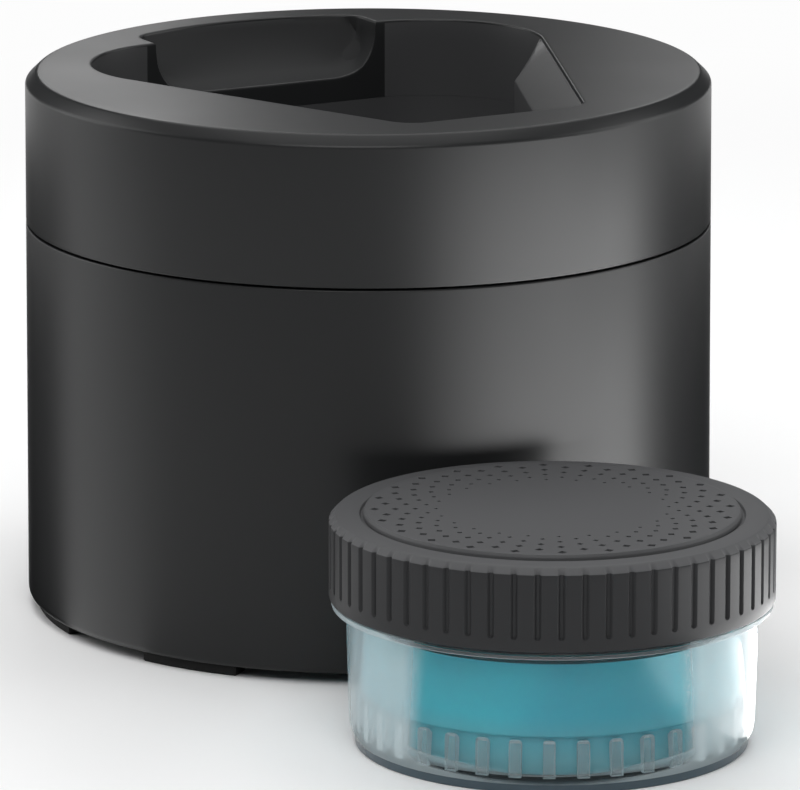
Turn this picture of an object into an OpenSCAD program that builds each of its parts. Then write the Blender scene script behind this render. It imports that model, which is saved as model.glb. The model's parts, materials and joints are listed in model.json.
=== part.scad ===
// Shaver cleaning station: a round cleaning pod whose top lifts off, and a capped fluid cartridge
// that stands beside it and fits inside. Millimetres, +Z up, the pod's front faces -Y, floor at Z = 0.

/* [Pod] */
// Radius of the pod at the floor
pod_r = 65.4; // [64.5:0.1:70]
// Height of the pod to its top face
pod_h = 103.2; // [101:0.1:108]
// Draft of the pod's wall: what its radius loses from the floor to the top
pod_draft = 0.4; // [0:0.1:1]
// Thickness of the pod's walls and of its top face
wall = 2.2; // [1.8:0.1:2.6]
// Height of the lift-off top, from the seam groove to the top face
top_h = 28.3; // [27:0.1:31]
// Width of the seam groove between the top and the base
seam_gap = 0.4; // [0.2:0.1:0.8]
// Width of the chamfer round the top face
chamfer_w = 2.1; // [1:0.1:3]
// Height of the chamfer round the top face
chamfer_h = 2.0; // [1:0.1:3]
// Radius of the pod's bottom edge
edge_r = 1.6; // [0.8:0.1:2]

/* [Feet] */
// Number of feet round the bottom
foot_count = 9; // [6:1:12]
// Height of a foot
foot_h = 2.0; // [1.5:0.1:3]
// Radial width of a foot
foot_w = 4.5; // [3:0.1:6]
// Angle that one foot spans
foot_span = 18.5; // [10:0.5:24]

/* [Shaver well] */
// Half the distance between the opening's two rear lobes
lobe_x = 24; // [22:0.5:25]
// How far the rear lobes lie behind the pod's axis
lobe_y = 20; // [18:0.5:21]
// Radius of the rear lobes
lobe_r = 22; // [20:0.5:22.5]
// Half the distance between the opening's two front corners
nose_x = 14.5; // [12:0.5:16]
// How far the front corners' centres lie before the pod's axis
nose_y = 44.5; // [42:0.5:45.5]
// Radius of the front corners
nose_r = 6; // [4:0.5:8]
// Slope of the shelf that leads down into the well
shelf_tilt = 41.6; // [35:0.1:48]
// Width of the shelf, seen from above
shelf_w = 6.8; // [5:0.1:8]
// Radius of the knee where the shelf's inner edge turns
knee_r = 6; // [4:0.5:8]
// Depth of the well below the top face
well_depth = 25.2; // [23:0.1:25.5]
// Thickness of the well's walls and shelf
skin = 2.0; // [1.5:0.1:2.4]

/* [Rear scoop] */
// Half the width of the scoop behind the well
scoop_x = 24; // [20:0.5:25]
// Radius from the pod's axis to the scoop's rear edge
scoop_reach = 55.8; // [53:0.1:57]
// Radius of the scoop's rear corners
scoop_corner = 5; // [3:0.5:7]
// Depth of the scoop where it meets the well
scoop_depth = 11; // [8:0.5:12]
// Radius of the scoop's hollow slope
scoop_curve = 20; // [17:0.5:30]
// Radius of the scoop's lower corners
scoop_round = 10; // [4:0.5:10]

/* [Cartridge] */
// Radius of the cartridge's cap
cap_r = 40; // [39:0.1:42]
// Height of the cap
cap_h = 15.2; // [14:0.1:17]
// Height of the cap's top rim above the floor
cap_top = 42; // [40:0.1:44]
// Chamfer round the cap's top
cap_chamfer = 1.25; // [0.8:0.05:2]
// Radius of the cap's raised disc
disc_r = 33.8; // [32:0.1:35]
// Height of the cap's raised disc
disc_h = 0.9; // [0.5:0.1:1.5]
// Number of grip grooves round the cap
groove_count = 60; // [36:1:72]
// Width of a grip groove
groove_w = 1.1; // [0.6:0.1:1.6]
// Depth of a grip groove
groove_d = 0.6; // [0.3:0.1:0.9]
// Radius of the tub's wall under its flange
tub_r = 37.0; // [36:0.1:38]
// Draft of the tub's wall
tub_draft = 0.7; // [0:0.1:1.5]
// Thickness of the tub's wall
tub_wall = 1.2; // [0.9:0.1:1.6]
// Radius of the tub's flange
flange_r = 39.6; // [39:0.1:41]
// Height of the rim that the tub stands on
rim_h = 1.5; // [1:0.1:2]
// Number of ribs inside the tub
rib_count = 36; // [24:1:48]
// Height of the ribs inside the tub
rib_h = 6.8; // [4:0.1:9]
// Width of a rib inside the tub
rib_w = 2.2; // [1:0.1:3]
// Level of the cleaning fluid above the floor
fluid_top = 23; // [16:0.5:24]
// Clear distance between the standing cartridge and the pod
stand_gap = 0.8; // [0.5:0.1:20]
// Direction of the standing cartridge from the pod's front, towards -X
stand_turn = 10; // [0:1:15]

/* [Pump and drive] */
// Outside radius of the motor housing
motor_r = 14; // [13:0.5:15]
// Height of the motor housing
motor_h = 25; // [22:0.5:26]
// Radius of the drive shaft
shaft_r = 1.5; // [1:0.1:2]
// Running clearance round the drive shaft
shaft_fit = 0.05; // [0.02:0.01:0.1]
// Radius of the impeller
impeller_r = 9; // [7:0.5:10]
// Number of impeller blades
blade_count = 6; // [4:1:8]
// Inside radius of the pump chamber
chamber_r = 10.8; // [10.2:0.1:12]
// Height of the pump foot's underside above the floor
pump_z = 13; // [12:0.5:15]
// Distance of the riser tube behind the pod's axis
riser_y = 20; // [19:0.5:22]
// Outside radius of the riser tube
riser_r = 3; // [2.5:0.1:3.5]
// Distance of the drain before the pod's axis
drain_y = 22; // [21:0.5:24]
// Outside radius of the drain tube
drain_r = 5; // [4:0.1:6]

/* [Battery] */
// Diameter of a battery cell
cell_d = 10.5; // [10:0.1:11]
// Length of a battery cell
cell_len = 44.5; // [44:0.1:45]
// Distance of each cell's axis from the pod's wall
cell_inset = 19.4; // [18.5:0.1:20.5]
// Thickness of the battery trays' walls
tray_wall = 0.8; // [0.6:0.1:1]

/* [Base fittings] */
// Inside radius of the ring that locates the cartridge
bay_r = 38; // [37.8:0.1:39]
// Height of the locating ring above the bay's floor
bay_h = 13; // [8:0.5:14]
// Height of the bay's floor plate above the pod's floor plate
bay_lift = 2.6; // [2:0.1:4]
// Thickness of inner plates
plate = 2.0; // [1.6:0.1:2.4]
// Width of the release button
button_w = 22; // [16:0.5:26]
// Height of the release button
button_h = 10; // [8:0.5:12]
// Distance of the release button's lower edge below the seam
button_drop = 20.9; // [20:0.1:25]
// How far the release button presses in
button_travel = 2.5; // [1.5:0.1:3]
// Radius of the screws
screw_r = 1.1; // [0.9:0.1:1.3]
// Clearance between parts that slide or drop in
slip = 0.25; // [0.2:0.01:0.35]

/* [Hidden] */

fine = 180;
mid = 64;
low = 32;
big = 200;
eps = 0.02;

charcoal = [0.17, 0.17, 0.175];
grey = [0.45, 0.45, 0.46];
black = [0.09, 0.09, 0.1];
steel = [0.75, 0.76, 0.78];

// Heights of the top part, from the seam upwards
seam_z = pod_h - top_h;
base_top = seam_z - seam_gap;
plate_z = pod_h - wall;
well_floor = pod_h - well_depth;
chassis_top = well_floor - skin;
chassis_z = chassis_top - plate;
tongue_top = chassis_top - 0.3;
gasket_h = 0.6;
basin_rim = pod_h - scoop_depth - skin - 2.2;
collar_z = basin_rim + gasket_h;

// Heights of the base, from the floor upwards
floor_top = foot_h + wall;
bay_z = floor_top + bay_lift;
bay_floor = bay_z + plate;

// Radii that the top and base share
tongue_r = pod_radius(seam_z) - wall - slip;
tongue_in = tongue_r - 1.4;
chassis_r = tongue_in - slip;

// Layout of the pod and the standing cartridge about the model's origin
stand_d = pod_r + cap_r + stand_gap;
stand_x = -stand_d * sin(stand_turn);
stand_dy = stand_d * cos(stand_turn);
pod_y = (stand_dy + cap_r - pod_r) / 2;

// The side of the opening: its outward normal, its angle and its distance from the pod's axis
side_n = tangent_n([lobe_x, lobe_y], lobe_r, [nose_x, -nose_y], nose_r);
side_a = atan2(side_n[1], side_n[0]);
side_d = side_n[0] * lobe_x + side_n[1] * lobe_y + lobe_r;
front_d = nose_y + nose_r;

// The shelf's inner edge leaves the opening at a cusp, turns at the knee and rounds the toe
cusp_a = -17.5;
cusp_turn = -50.5;
cusp = [lobe_x, lobe_y] + lobe_r * [cos(cusp_a), sin(cusp_a)];
cusp_n = [cos(cusp_turn), sin(cusp_turn)];
knee_c = meet(cusp_n, dot(cusp_n, cusp) + knee_r, side_n, side_d - shelf_w + knee_r);
toe_y = shelf_w + nose_r - front_d;
toe_c = [(side_d - shelf_w - nose_r - side_n[1] * toe_y) / side_n[0], toe_y];

// The cylinder that shapes the scoop's slope passes through its rear edge and its lip
lip_y = lobe_y + lobe_r;
scoop_mid = [(scoop_reach + lip_y) / 2, pod_h - scoop_depth / 2];
scoop_run = [scoop_reach - lip_y, scoop_depth];
scoop_chord = norm(scoop_run);
scoop_off = sqrt(pow(scoop_curve, 2) - pow(scoop_chord / 2, 2));
scoop_c = scoop_mid + scoop_off * [-scoop_run[1], scoop_run[0]] / scoop_chord;

// Battery trays lie along the sides of the opening
tray_w = cell_d / 2 + slip + tray_wall;
tray_l = cell_len / 2 + 1.2;
tray_h = cell_d + 2 * slip + tray_wall;
door_w = tray_w - tray_wall - 0.1;
door_l = tray_l - 0.8;

// Screws that hold the chassis under the top
boss_r = 3;
boss_ring = chassis_r - 2.7;
boss_rear = 48.2;
boss_front = 71.5;
screw_fit = 0.05;
head_r = 2.3;
head_h = 1.8;

// Bay screws
bay_ear_r = 5;
bay_ear_ring = bay_r + 8.5;

// Motor and pump heights
motor_z = chassis_z - motor_h;
stem_r = 6;
stem_bore = 3.5;
chamber_z = pump_z + wall;
chamber_h = 7.5;
pump_r = chamber_r + wall;
pump_top = chamber_z + chamber_h + wall;
impeller_z = chamber_z + 1;
port_z = chamber_z + chamber_h / 2;
can_r = motor_r - 1.6;
shaft_top = motor_z + plate + 6;

// Release button and its guide, behind the rear wall
button_z = seam_z - button_drop;
guide_wall = 1.6;
guide_back = pod_r - 21.4;
button_back = pod_r - 11.4;
hook_w = 10;
hook_t = 2;
hook_gap = 2;
lug_w = 12;
lug_t = 2;
lug_gap = 0.4;
lug_h = 5;
dish_r = 18.5;
dish_in = 1.5;
pin_r = 1.6;
pin_h = 5;

// Circuit board on two pegs under the chassis
board = [44, 19, 1.6];
board_y = button_back - 7 - board[1];
peg_h = 1.4;
peg_r = 2;
peg_x = board[0] / 2 - 4;
chip = [7, 7, 1.2];
plug = [5, 4, 2.6];

// Cartridge heights
cap_z = cap_top - cap_h;
flange_z = cap_z - 1.4;
flange_t = 1.1;
neck_r = tub_r - 2.5;
neck_top = cap_top - 3.2;
tub_floor = 2.6;
foot_round = 4.6;
seal_h = 1;
groove_foot = 2.3;

function pod_radius(z) = pod_r - pod_draft * z / pod_h;

function dot(a, b) = a[0] * b[0] + a[1] * b[1];

// Points along an arc, in steps of about 3 degrees.
function arc(c, r, a0, a1) =
    let (n = max(2, ceil(abs(a1 - a0) / 3)))
    [for (i = [0:n]) let (a = a0 + (a1 - a0) * i / n) c + r * [cos(a), sin(a)]];

// A closed outline from its right-hand half.
function mirrored(half) =
    concat(half, [for (i = [len(half) - 1:-1:0]) [-half[i][0], half[i][1]]]);

// The point where two lines meet, each given by its normal and its distance from the axis.
function meet(n1, h1, n2, h2) =
    [h1 * n2[1] - h2 * n1[1], n1[0] * h2 - n2[0] * h1] / (n1[0] * n2[1] - n2[0] * n1[1]);

// The outward normal of the line that touches two circles on their right-hand side.
function tangent_n(c1, r1, c2, r2) =
    let (d = c2 - c1, len = norm(d), u = d / len, s = (r1 - r2) / len)
    [u[0] * s - u[1] * sqrt(1 - s * s), u[1] * s + u[0] * sqrt(1 - s * s)];

module at_pod() { translate([0, pod_y, 0]) children(); }

module at_stand() { translate([stand_x, pod_y - stand_dy, 0]) children(); }

module both_sides() {
    children();
    mirror([1, 0, 0]) children();
}

// Outline of the opening in the top face, grown by g.
module mouth(g = 0) {
    polygon(mirrored(concat(
        arc([lobe_x, lobe_y], lobe_r + g, 90, side_a),
        arc([nose_x, -nose_y], nose_r + g, side_a, -90)
    )));
}

// Outline of the well below the shelf, grown by g: full width behind, and inside the shelf in front.
module well(g = 0) {
    reach = dot(cusp_n, cusp - [lobe_x, lobe_y]) + g;
    leave = cusp_turn + acos(reach / (lobe_r + g));
    polygon(mirrored(concat(
        arc([lobe_x, lobe_y], lobe_r + g, 90, leave),
        arc(knee_c, g - knee_r, cusp_turn, side_a),
        arc(toe_c, nose_r + g, side_a, -90)
    )));
}

// Outline of the scoop behind the well, grown by g.
module scoop(g = 0) {
    corner_x = scoop_x - scoop_corner;
    corner = [corner_x, sqrt(pow(scoop_reach - scoop_corner, 2) - pow(corner_x, 2))];
    turn = atan2(corner[1], corner[0]);
    polygon(mirrored(concat(
        [[scoop_x + g, lip_y - 0.5]],
        arc(corner, scoop_corner + g, 0, turn),
        arc([0, 0], scoop_reach + g, turn, 89)
    )));
}

// The space above a shelf plane that meets the top face at a distance from the axis.
module above_shelf(turn, reach, sink) {
    rotate([0, 0, turn]) translate([reach, 0, pod_h]) rotate([0, -shelf_tilt, 0])
        translate([-big, -big, -sink]) cube(2 * big);
}

// The space over the three sloping shelves, with the slopes sunk by an amount.
module over_shelves(sink = 0) {
    intersection() {
        above_shelf(side_a, side_d, sink);
        above_shelf(180 - side_a, side_d, sink);
        above_shelf(-90, front_d, sink);
    }
}

module prism(z0, z1) { translate([0, 0, z0]) linear_extrude(z1 - z0) children(); }

module tube(r_out, r_in, z0, z1, fn = mid) {
    prism(z0, z1) difference() {
        circle(r = r_out, $fn = fn);
        circle(r = r_in, $fn = fn);
    }
}

// The hollow slope of the scoop, as the inside of a lying cylinder, grown by g.
module scoop_slope(g = 0) {
    translate([-big / 2, scoop_c[0], scoop_c[1]]) rotate([0, 90, 0])
        cylinder(r = scoop_curve + g, h = big, $fn = fine);
}

// The trough that rounds the scoop's lower corners, seen along Y.
module scoop_trough() {
    low_z = pod_h - scoop_depth - 0.5;
    translate([0, big, 0]) rotate([90, 0, 0]) linear_extrude(big) {
        translate([-scoop_x, low_z + scoop_round]) square([2 * scoop_x, big]);
        translate([-scoop_x + scoop_round, low_z]) square([2 * (scoop_x - scoop_round), big]);
        both_sides() translate([scoop_x - scoop_round, low_z + scoop_round])
            circle(r = scoop_round, $fn = mid);
    }
}

module scoop_cut() {
    intersection() {
        prism(basin_rim, pod_h + 5) scoop();
        scoop_slope();
        scoop_trough();
    }
}

module cavity_cut() {
    intersection() {
        prism(basin_rim, pod_h + 1) mouth();
        over_shelves();
    }
    prism(basin_rim, pod_h + 1) well();
    scoop_cut();
}

module at_bosses() {
    both_sides() {
        rotate([0, 0, boss_rear]) translate([boss_ring, 0, 0]) children();
        rotate([0, 0, -boss_front]) translate([boss_ring, 0, 0]) children();
    }
}

module at_bay_ears() {
    for (k = [0:2]) rotate([0, 0, 90 + 120 * k]) translate([bay_ear_ring, 0, 0]) children();
}

// Puts a child at the middle of each battery tray, with X outwards and Y along the cell.
module at_cells() {
    both_sides() rotate([0, 0, side_a]) translate([pod_r - cell_inset, 0, 0]) children();
}

module pod_slice(z0, z1, inset) {
    rotate_extrude($fn = fine) polygon([
        [0, z0], [pod_radius(z0) - inset, z0], [pod_radius(z1) - inset, z1], [0, z1]
    ]);
}

// ---- Base ----

module base_shell() {
    step_z = base_top - 4.5;
    color(charcoal) at_pod() difference() {
        union() {
            rotate_extrude($fn = fine) polygon(concat(
                [[0, foot_h]],
                [for (a = [0:15:90]) [
                    pod_radius(0) - edge_r + edge_r * sin(a), foot_h + edge_r - edge_r * cos(a)
                ]],
                [
                    [pod_radius(base_top), base_top], [tongue_r, base_top],
                    [tongue_r, tongue_top], [tongue_in, tongue_top], [tongue_in, step_z],
                    [pod_radius(step_z) - wall, step_z - 2.5], [pod_radius(0) - wall, floor_top],
                    [0, floor_top]
                ]
            ));
            at_bay_ears() prism(floor_top - eps, bay_z) circle(r = 4, $fn = mid);
            tube(31, 29, floor_top - eps, bay_z, fine);
        }
        at_bay_ears() prism(floor_top, bay_z + 1) circle(r = screw_r + screw_fit, $fn = mid);
        translate([-button_w / 2 - slip, pod_r - 5 * wall, button_z - slip])
            cube([button_w + 2 * slip, 10 * wall, button_h + 2 * slip]);
    }
}

module rubber_feet() {
    reach = pod_r - edge_r - 0.1;
    half = foot_span / 2;
    color(black) at_pod() for (k = [0:foot_count - 1])
        rotate([0, 0, -90 + 180 / foot_count + 360 / foot_count * k]) prism(0, foot_h)
            intersection() {
                difference() {
                    circle(r = reach, $fn = fine);
                    circle(r = reach - foot_w, $fn = fine);
                }
                polygon([
                    [0, 0], 2 * reach * [cos(half), -sin(half)], 2 * reach * [cos(half), sin(half)]
                ]);
            }
}

module cartridge_bay() {
    color(grey) at_pod() difference() {
        union() {
            prism(bay_z, bay_floor) circle(r = bay_r + 2.2, $fn = fine);
            tube(bay_r + 2.2, bay_r, bay_z, bay_floor + bay_h, fine);
            at_bay_ears() prism(bay_z, bay_floor) {
                circle(r = bay_ear_r, $fn = mid);
                translate([-bay_ear_r - 4, -bay_ear_r]) square([bay_ear_r + 4, 2 * bay_ear_r]);
            }
        }
        prism(bay_floor, bay_floor + bay_h + 1) circle(r = bay_r, $fn = fine);
        at_bay_ears() prism(bay_z - 1, bay_floor + 1) circle(r = screw_r + screw_fit, $fn = mid);
    }
}

module bay_screws() {
    color(steel) at_pod() at_bay_ears() difference() {
        union() {
            prism(floor_top + 0.2, bay_floor + eps) circle(r = screw_r, $fn = mid);
            prism(bay_floor, bay_floor + head_h) circle(r = head_r, $fn = mid);
        }
        prism(bay_floor + head_h - 0.8, bay_floor + head_h + 1) square([0.8, 3], center = true);
        prism(bay_floor + head_h - 0.8, bay_floor + head_h + 1) square([3, 0.8], center = true);
    }
}

module button_guide() {
    in_w = button_w / 2 + slip;
    out_w = in_w + guide_wall;
    z0 = button_z - slip;
    z1 = button_z + button_h + slip;
    color(grey) at_pod() intersection() {
        difference() {
            translate([-out_w, guide_back - guide_wall, z0 - guide_wall])
                cube([2 * out_w, 30, z1 - z0 + 2 * guide_wall]);
            translate([-in_w, guide_back, z0]) cube([2 * in_w, 40, z1 - z0]);
            translate([-hook_w / 2 - 1, button_back - button_travel - 1, z1 - 1])
                cube([hook_w + 2, button_travel + hook_t + 2, guide_wall + 2]);
        }
        pod_slice(z0 - 5, z1 + 5, wall + 0.05);
    }
}

module release_button() {
    color(grey) at_pod() {
        difference() {
            intersection() {
                translate([-button_w / 2, button_back, button_z]) cube([button_w, 30, button_h]);
                pod_slice(button_z - 1, button_z + button_h + 1, 0.3);
            }
            translate([0, pod_r + dish_r - dish_in, button_z + button_h / 2])
                sphere(r = dish_r, $fn = fine);
        }
        translate([-hook_w / 2, button_back, button_z + button_h - eps])
            cube([hook_w, hook_t, chassis_z - hook_gap - button_z - button_h]);
        translate([0, button_back + eps, button_z + button_h / 2]) rotate([90, 0, 0])
            cylinder(r = pin_r, h = pin_h, $fn = mid);
    }
}

module button_spring() {
    length = button_back - guide_back - button_travel - 0.1;
    color(steel) at_pod() translate([0, button_back, button_z + button_h / 2]) rotate([90, 0, 0])
        difference() {
            cylinder(r = 2 * pin_r, h = length, $fn = mid);
            translate([0, 0, -1]) cylinder(r = pin_r + 0.3, h = length + 2, $fn = mid);
        }
}

// ---- Lift-off top ----

module top_cover() {
    color(charcoal) at_pod() difference() {
        union() {
            rotate_extrude($fn = fine) polygon([
                [pod_radius(seam_z) - wall, seam_z], [pod_radius(seam_z), seam_z],
                [pod_radius(pod_h), pod_h - chamfer_h], [pod_radius(pod_h) - chamfer_w, pod_h],
                [0, pod_h], [0, plate_z], [pod_radius(pod_h) - wall, plate_z]
            ]);
            intersection() {
                prism(collar_z, pod_h - 1) mouth(skin);
                over_shelves(skin);
            }
            prism(collar_z, pod_h - 1) well(skin);
            intersection() {
                prism(collar_z, pod_h - 1) scoop(skin);
                scoop_slope(skin);
            }
            at_bosses() prism(chassis_top, pod_h - 1) circle(r = boss_r, $fn = mid);
        }
        cavity_cut();
        at_bosses() prism(chassis_top - 1, chassis_top + 9)
            circle(r = screw_r + screw_fit, $fn = mid);
    }
}

module shaver_basin() {
    color(charcoal) at_pod() difference() {
        prism(chassis_top, basin_rim) well(skin);
        prism(well_floor, pod_h) well();
        translate([0, riser_y, 0]) prism(0, pod_h) circle(r = riser_r + slip, $fn = mid);
        translate([0, -drain_y, 0]) prism(0, pod_h) circle(r = drain_r - 1.2, $fn = mid);
    }
}

module basin_gasket() {
    color(black) at_pod() prism(basin_rim, collar_z) difference() {
        well(skin - 0.2);
        well(0.4);
    }
}

module drain_sieve() {
    rows = 2;
    color(steel) at_pod() translate([0, -drain_y, 0]) prism(well_floor, well_floor + 0.8)
        difference() {
            circle(r = drain_r + 1.5, $fn = mid);
            circle(r = 0.5, $fn = low);
            for (j = [1:rows], k = [0:6 * j - 1])
                rotate(60 / j * k) translate([1.6 * j, 0]) circle(r = 0.5, $fn = low);
        }
}

module drain_tube() {
    color(grey) at_pod() translate([0, -drain_y, 0]) {
        tube(drain_r, drain_r - 1.2, cap_top + 6, chassis_top);
        tube(drain_r + 1.5, drain_r - eps, chassis_z - 1.5, chassis_z);
    }
}

module chassis() {
    color(grey) at_pod() difference() {
        union() {
            prism(chassis_z, chassis_top) circle(r = chassis_r, $fn = fine);
            both_sides() translate([peg_x, board_y + board[1] / 2, 0])
                prism(chassis_z - peg_h, chassis_z + eps) circle(r = peg_r, $fn = mid);
            translate([-lug_w / 2, button_back + hook_t + lug_gap, chassis_z - lug_h])
                cube([lug_w, lug_t, lug_h + eps]);
        }
        at_bosses() prism(chassis_z - 1, chassis_top + 1) circle(r = screw_r + screw_fit, $fn = mid);
        at_cells() translate([-door_w - slip, -door_l - slip, chassis_z - 1])
            cube([2 * (door_w + slip), 2 * (door_l + slip), plate + 2]);
        translate([0, riser_y, 0]) prism(0, pod_h) circle(r = riser_r + slip, $fn = mid);
        translate([0, -drain_y, 0]) prism(0, pod_h) circle(r = drain_r + 0.05, $fn = mid);
    }
}

module motor_housing() {
    color(grey) at_pod() difference() {
        prism(motor_z, chassis_z) circle(r = motor_r, $fn = fine);
        prism(motor_z + plate, chassis_z + 1) circle(r = can_r + 0.05, $fn = fine);
        prism(motor_z - 1, motor_z + plate + 1) circle(r = stem_bore, $fn = mid);
    }
}

module motor_can() {
    color(steel) at_pod() difference() {
        prism(motor_z + plate, chassis_z - 0.3) circle(r = can_r, $fn = fine);
        prism(motor_z, shaft_top + 0.2) circle(r = shaft_r + shaft_fit, $fn = mid);
    }
}

module shaft_seal() {
    color(black) at_pod() tube(stem_bore - 0.02, shaft_r + shaft_fit, motor_z, motor_z + plate);
}

module pump_housing() {
    color(grey) at_pod() difference() {
        union() {
            prism(pump_z, pump_top) circle(r = pump_r, $fn = fine);
            prism(pump_top - eps, motor_z) circle(r = stem_r, $fn = mid);
            translate([0, 0, port_z]) rotate([-90, 0, 0]) cylinder(r = 2.6, h = riser_y, $fn = mid);
        }
        prism(chamber_z, chamber_z + chamber_h) circle(r = chamber_r, $fn = fine);
        prism(pump_z - 1, chamber_z + 1) circle(r = 4.5, $fn = mid);
        prism(chamber_z, motor_z + 1) circle(r = stem_bore, $fn = mid);
        translate([0, 0, port_z]) rotate([-90, 0, 0]) cylinder(r = 1.5, h = 2 * riser_y, $fn = mid);
        translate([0, riser_y, 0]) prism(0, pod_h) circle(r = riser_r + 0.02, $fn = mid);
    }
}

module riser_tube() {
    color(grey) at_pod() difference() {
        translate([0, riser_y, 0]) prism(pump_z + 1, well_floor + 3)
            circle(r = riser_r, $fn = mid);
        translate([0, riser_y, 0]) prism(pump_z + 2, well_floor + 4)
            circle(r = riser_r - 1, $fn = mid);
        translate([0, 0, port_z]) rotate([-90, 0, 0]) cylinder(r = 1.5, h = riser_y, $fn = mid);
    }
}

module battery_trays() {
    color(grey) at_pod() at_cells() difference() {
        translate([-tray_w, -tray_l, chassis_top]) cube([2 * tray_w, 2 * tray_l, tray_h]);
        translate([tray_wall - tray_w, tray_wall - tray_l, chassis_top - 1])
            cube([2 * (tray_w - tray_wall), 2 * (tray_l - tray_wall), tray_h - tray_wall + 1]);
    }
}

module battery_cells() {
    nub = 0.9;
    color(steel) at_pod() at_cells() translate([0, -cell_len / 2, chassis_top + slip + cell_d / 2])
        rotate([-90, 0, 0]) {
            cylinder(d = cell_d, h = cell_len - nub, $fn = mid);
            cylinder(d = cell_d / 3, h = cell_len, $fn = mid);
        }
}

module battery_contacts() {
    thick = 0.35;
    gap_z = chassis_top + slip + cell_d / 2;
    inner = tray_l - tray_wall;
    color(steel) at_pod() at_cells() for (s = [-1, 1])
        translate([-cell_d / 2 + 0.5, s * (inner - thick / 2) - thick / 2, gap_z - 4])
            cube([cell_d - 1, thick, 8]);
}

module battery_doors() {
    color(grey) at_pod() at_cells() {
        translate([-door_w, -door_l, chassis_z]) cube([2 * door_w, 2 * door_l, plate]);
        for (k = [-1, 0, 1]) translate([-3, 3 * k - 0.4, chassis_z - 0.5]) cube([6, 0.8, 0.5 + eps]);
    }
}

module circuit_board() {
    z = chassis_z - peg_h - board[2];
    color([0.1, 0.35, 0.2]) at_pod() translate([0, board_y, z]) {
        translate([-board[0] / 2, 0, 0]) cube(board);
        translate([-5, 5, -chip[2]]) cube(chip + [0, 0, eps]);
        translate([10, 3, -plug[2]]) cube(plug + [0, 0, eps]);
    }
}

module top_screws() {
    color(steel) at_pod() at_bosses() {
        prism(chassis_z - eps, chassis_top + 7.5) circle(r = screw_r, $fn = mid);
        prism(chassis_z - head_h, chassis_z) circle(r = head_r, $fn = mid);
    }
}

module motor_shaft() {
    color(steel) at_pod() prism(impeller_z, shaft_top) circle(r = shaft_r, $fn = mid);
}

module impeller() {
    hub_r = shaft_r + 1.2;
    color(black) at_pod() difference() {
        union() {
            prism(impeller_z, impeller_z + 1) circle(r = impeller_r, $fn = fine);
            prism(impeller_z, impeller_z + 5) circle(r = hub_r, $fn = mid);
            for (k = [0:blade_count - 1]) rotate([0, 0, 360 / blade_count * k])
                translate([hub_r - 0.5, -0.5, impeller_z + 0.5])
                    cube([impeller_r - hub_r, 1, 4.5]);
        }
        prism(impeller_z - 1, impeller_z + 6) circle(r = shaft_r, $fn = mid);
    }
}

// ---- Cartridge ----

function tub_out(z) = tub_r - tub_draft * (flange_z - z) / flange_z;

module cartridge_tub() {
    rim_r = tub_out(0) - 0.9;
    color([0.75, 0.88, 0.9]) at_stand() {
        rotate_extrude($fn = fine) polygon([
            [0, rim_h], [rim_r - 1.2, rim_h], [rim_r - 1.2, 0], [rim_r, 0], [rim_r, rim_h],
            [tub_out(foot_round) - 0.9, rim_h + 0.2], [tub_out(foot_round) - 0.25, 3],
            [tub_out(foot_round), foot_round], [tub_r, flange_z], [flange_r, flange_z],
            [flange_r, flange_z + flange_t], [neck_r, flange_z + flange_t], [neck_r, neck_top],
            [neck_r - tub_wall, neck_top], [neck_r - tub_wall, flange_z],
            [tub_out(foot_round) - tub_wall, foot_round + 0.4],
            [tub_out(foot_round) - tub_wall - 1.2, tub_floor], [0, tub_floor]
        ]);
        intersection() {
            prism(tub_floor, tub_floor + rib_h) difference() {
                circle(r = tub_out(0) - tub_wall + 0.3, $fn = fine);
                circle(r = tub_out(0) - tub_wall - 1.6, $fn = fine);
            }
            for (k = [0:rib_count - 1]) rotate([0, 0, 360 / rib_count * k])
                translate([tub_r - 6, -rib_w / 2, 0]) cube([6, rib_w, tub_floor + rib_h]);
        }
    }
}

module cleaning_fluid() {
    inner = tub_out(0) - tub_wall;
    color([0.1, 0.55, 0.6]) at_stand() rotate_extrude($fn = fine) polygon([
        [0, tub_floor + 0.1], [inner - 2, tub_floor + 0.1], [inner - 2, tub_floor + rib_h + 0.3],
        [inner - 0.3, tub_floor + rib_h + 0.6], [neck_r - tub_wall - 0.1, fluid_top],
        [0, fluid_top]
    ]);
}

module cap_seal() {
    color([0.85, 0.87, 0.88]) at_stand() tube(neck_r + 0.4, neck_r - 4, neck_top, neck_top + seal_h, fine);
}

module cartridge_cap() {
    hollow_r = neck_r + 1.1;
    color(grey) at_stand() difference() {
        rotate_extrude($fn = fine) polygon([
            [0, cap_z], [cap_r, cap_z], [cap_r, cap_top - cap_chamfer],
            [cap_r - cap_chamfer, cap_top], [0, cap_top]
        ]);
        prism(cap_z - 1, neck_top + seal_h) circle(r = hollow_r, $fn = fine);
        for (k = [0:groove_count - 1]) rotate([0, 0, 360 / groove_count * (k + 0.5)])
            translate([cap_r - groove_d, -groove_w / 2, cap_z + groove_foot])
                cube([5, groove_w, cap_h - cap_chamfer - groove_foot + 0.3]);
    }
}

module cap_disc() {
    color([0.42, 0.42, 0.43]) at_stand() rotate_extrude($fn = fine) polygon([
        [0, cap_top], [disc_r, cap_top], [disc_r, cap_top + disc_h - 0.25],
        [disc_r - 0.25, cap_top + disc_h], [0, cap_top + disc_h]
    ]);
}

base_shell();
rubber_feet();
cartridge_bay();
bay_screws();
button_guide();
release_button();
button_spring();
top_cover();
shaver_basin();
basin_gasket();
drain_sieve();
drain_tube();
chassis();
motor_housing();
motor_can();
shaft_seal();
pump_housing();
riser_tube();
battery_trays();
battery_cells();
battery_contacts();
battery_doors();
circuit_board();
top_screws();
motor_shaft();
impeller();
cartridge_tub();
cleaning_fluid();
cap_seal();
cartridge_cap();
cap_disc();
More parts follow.
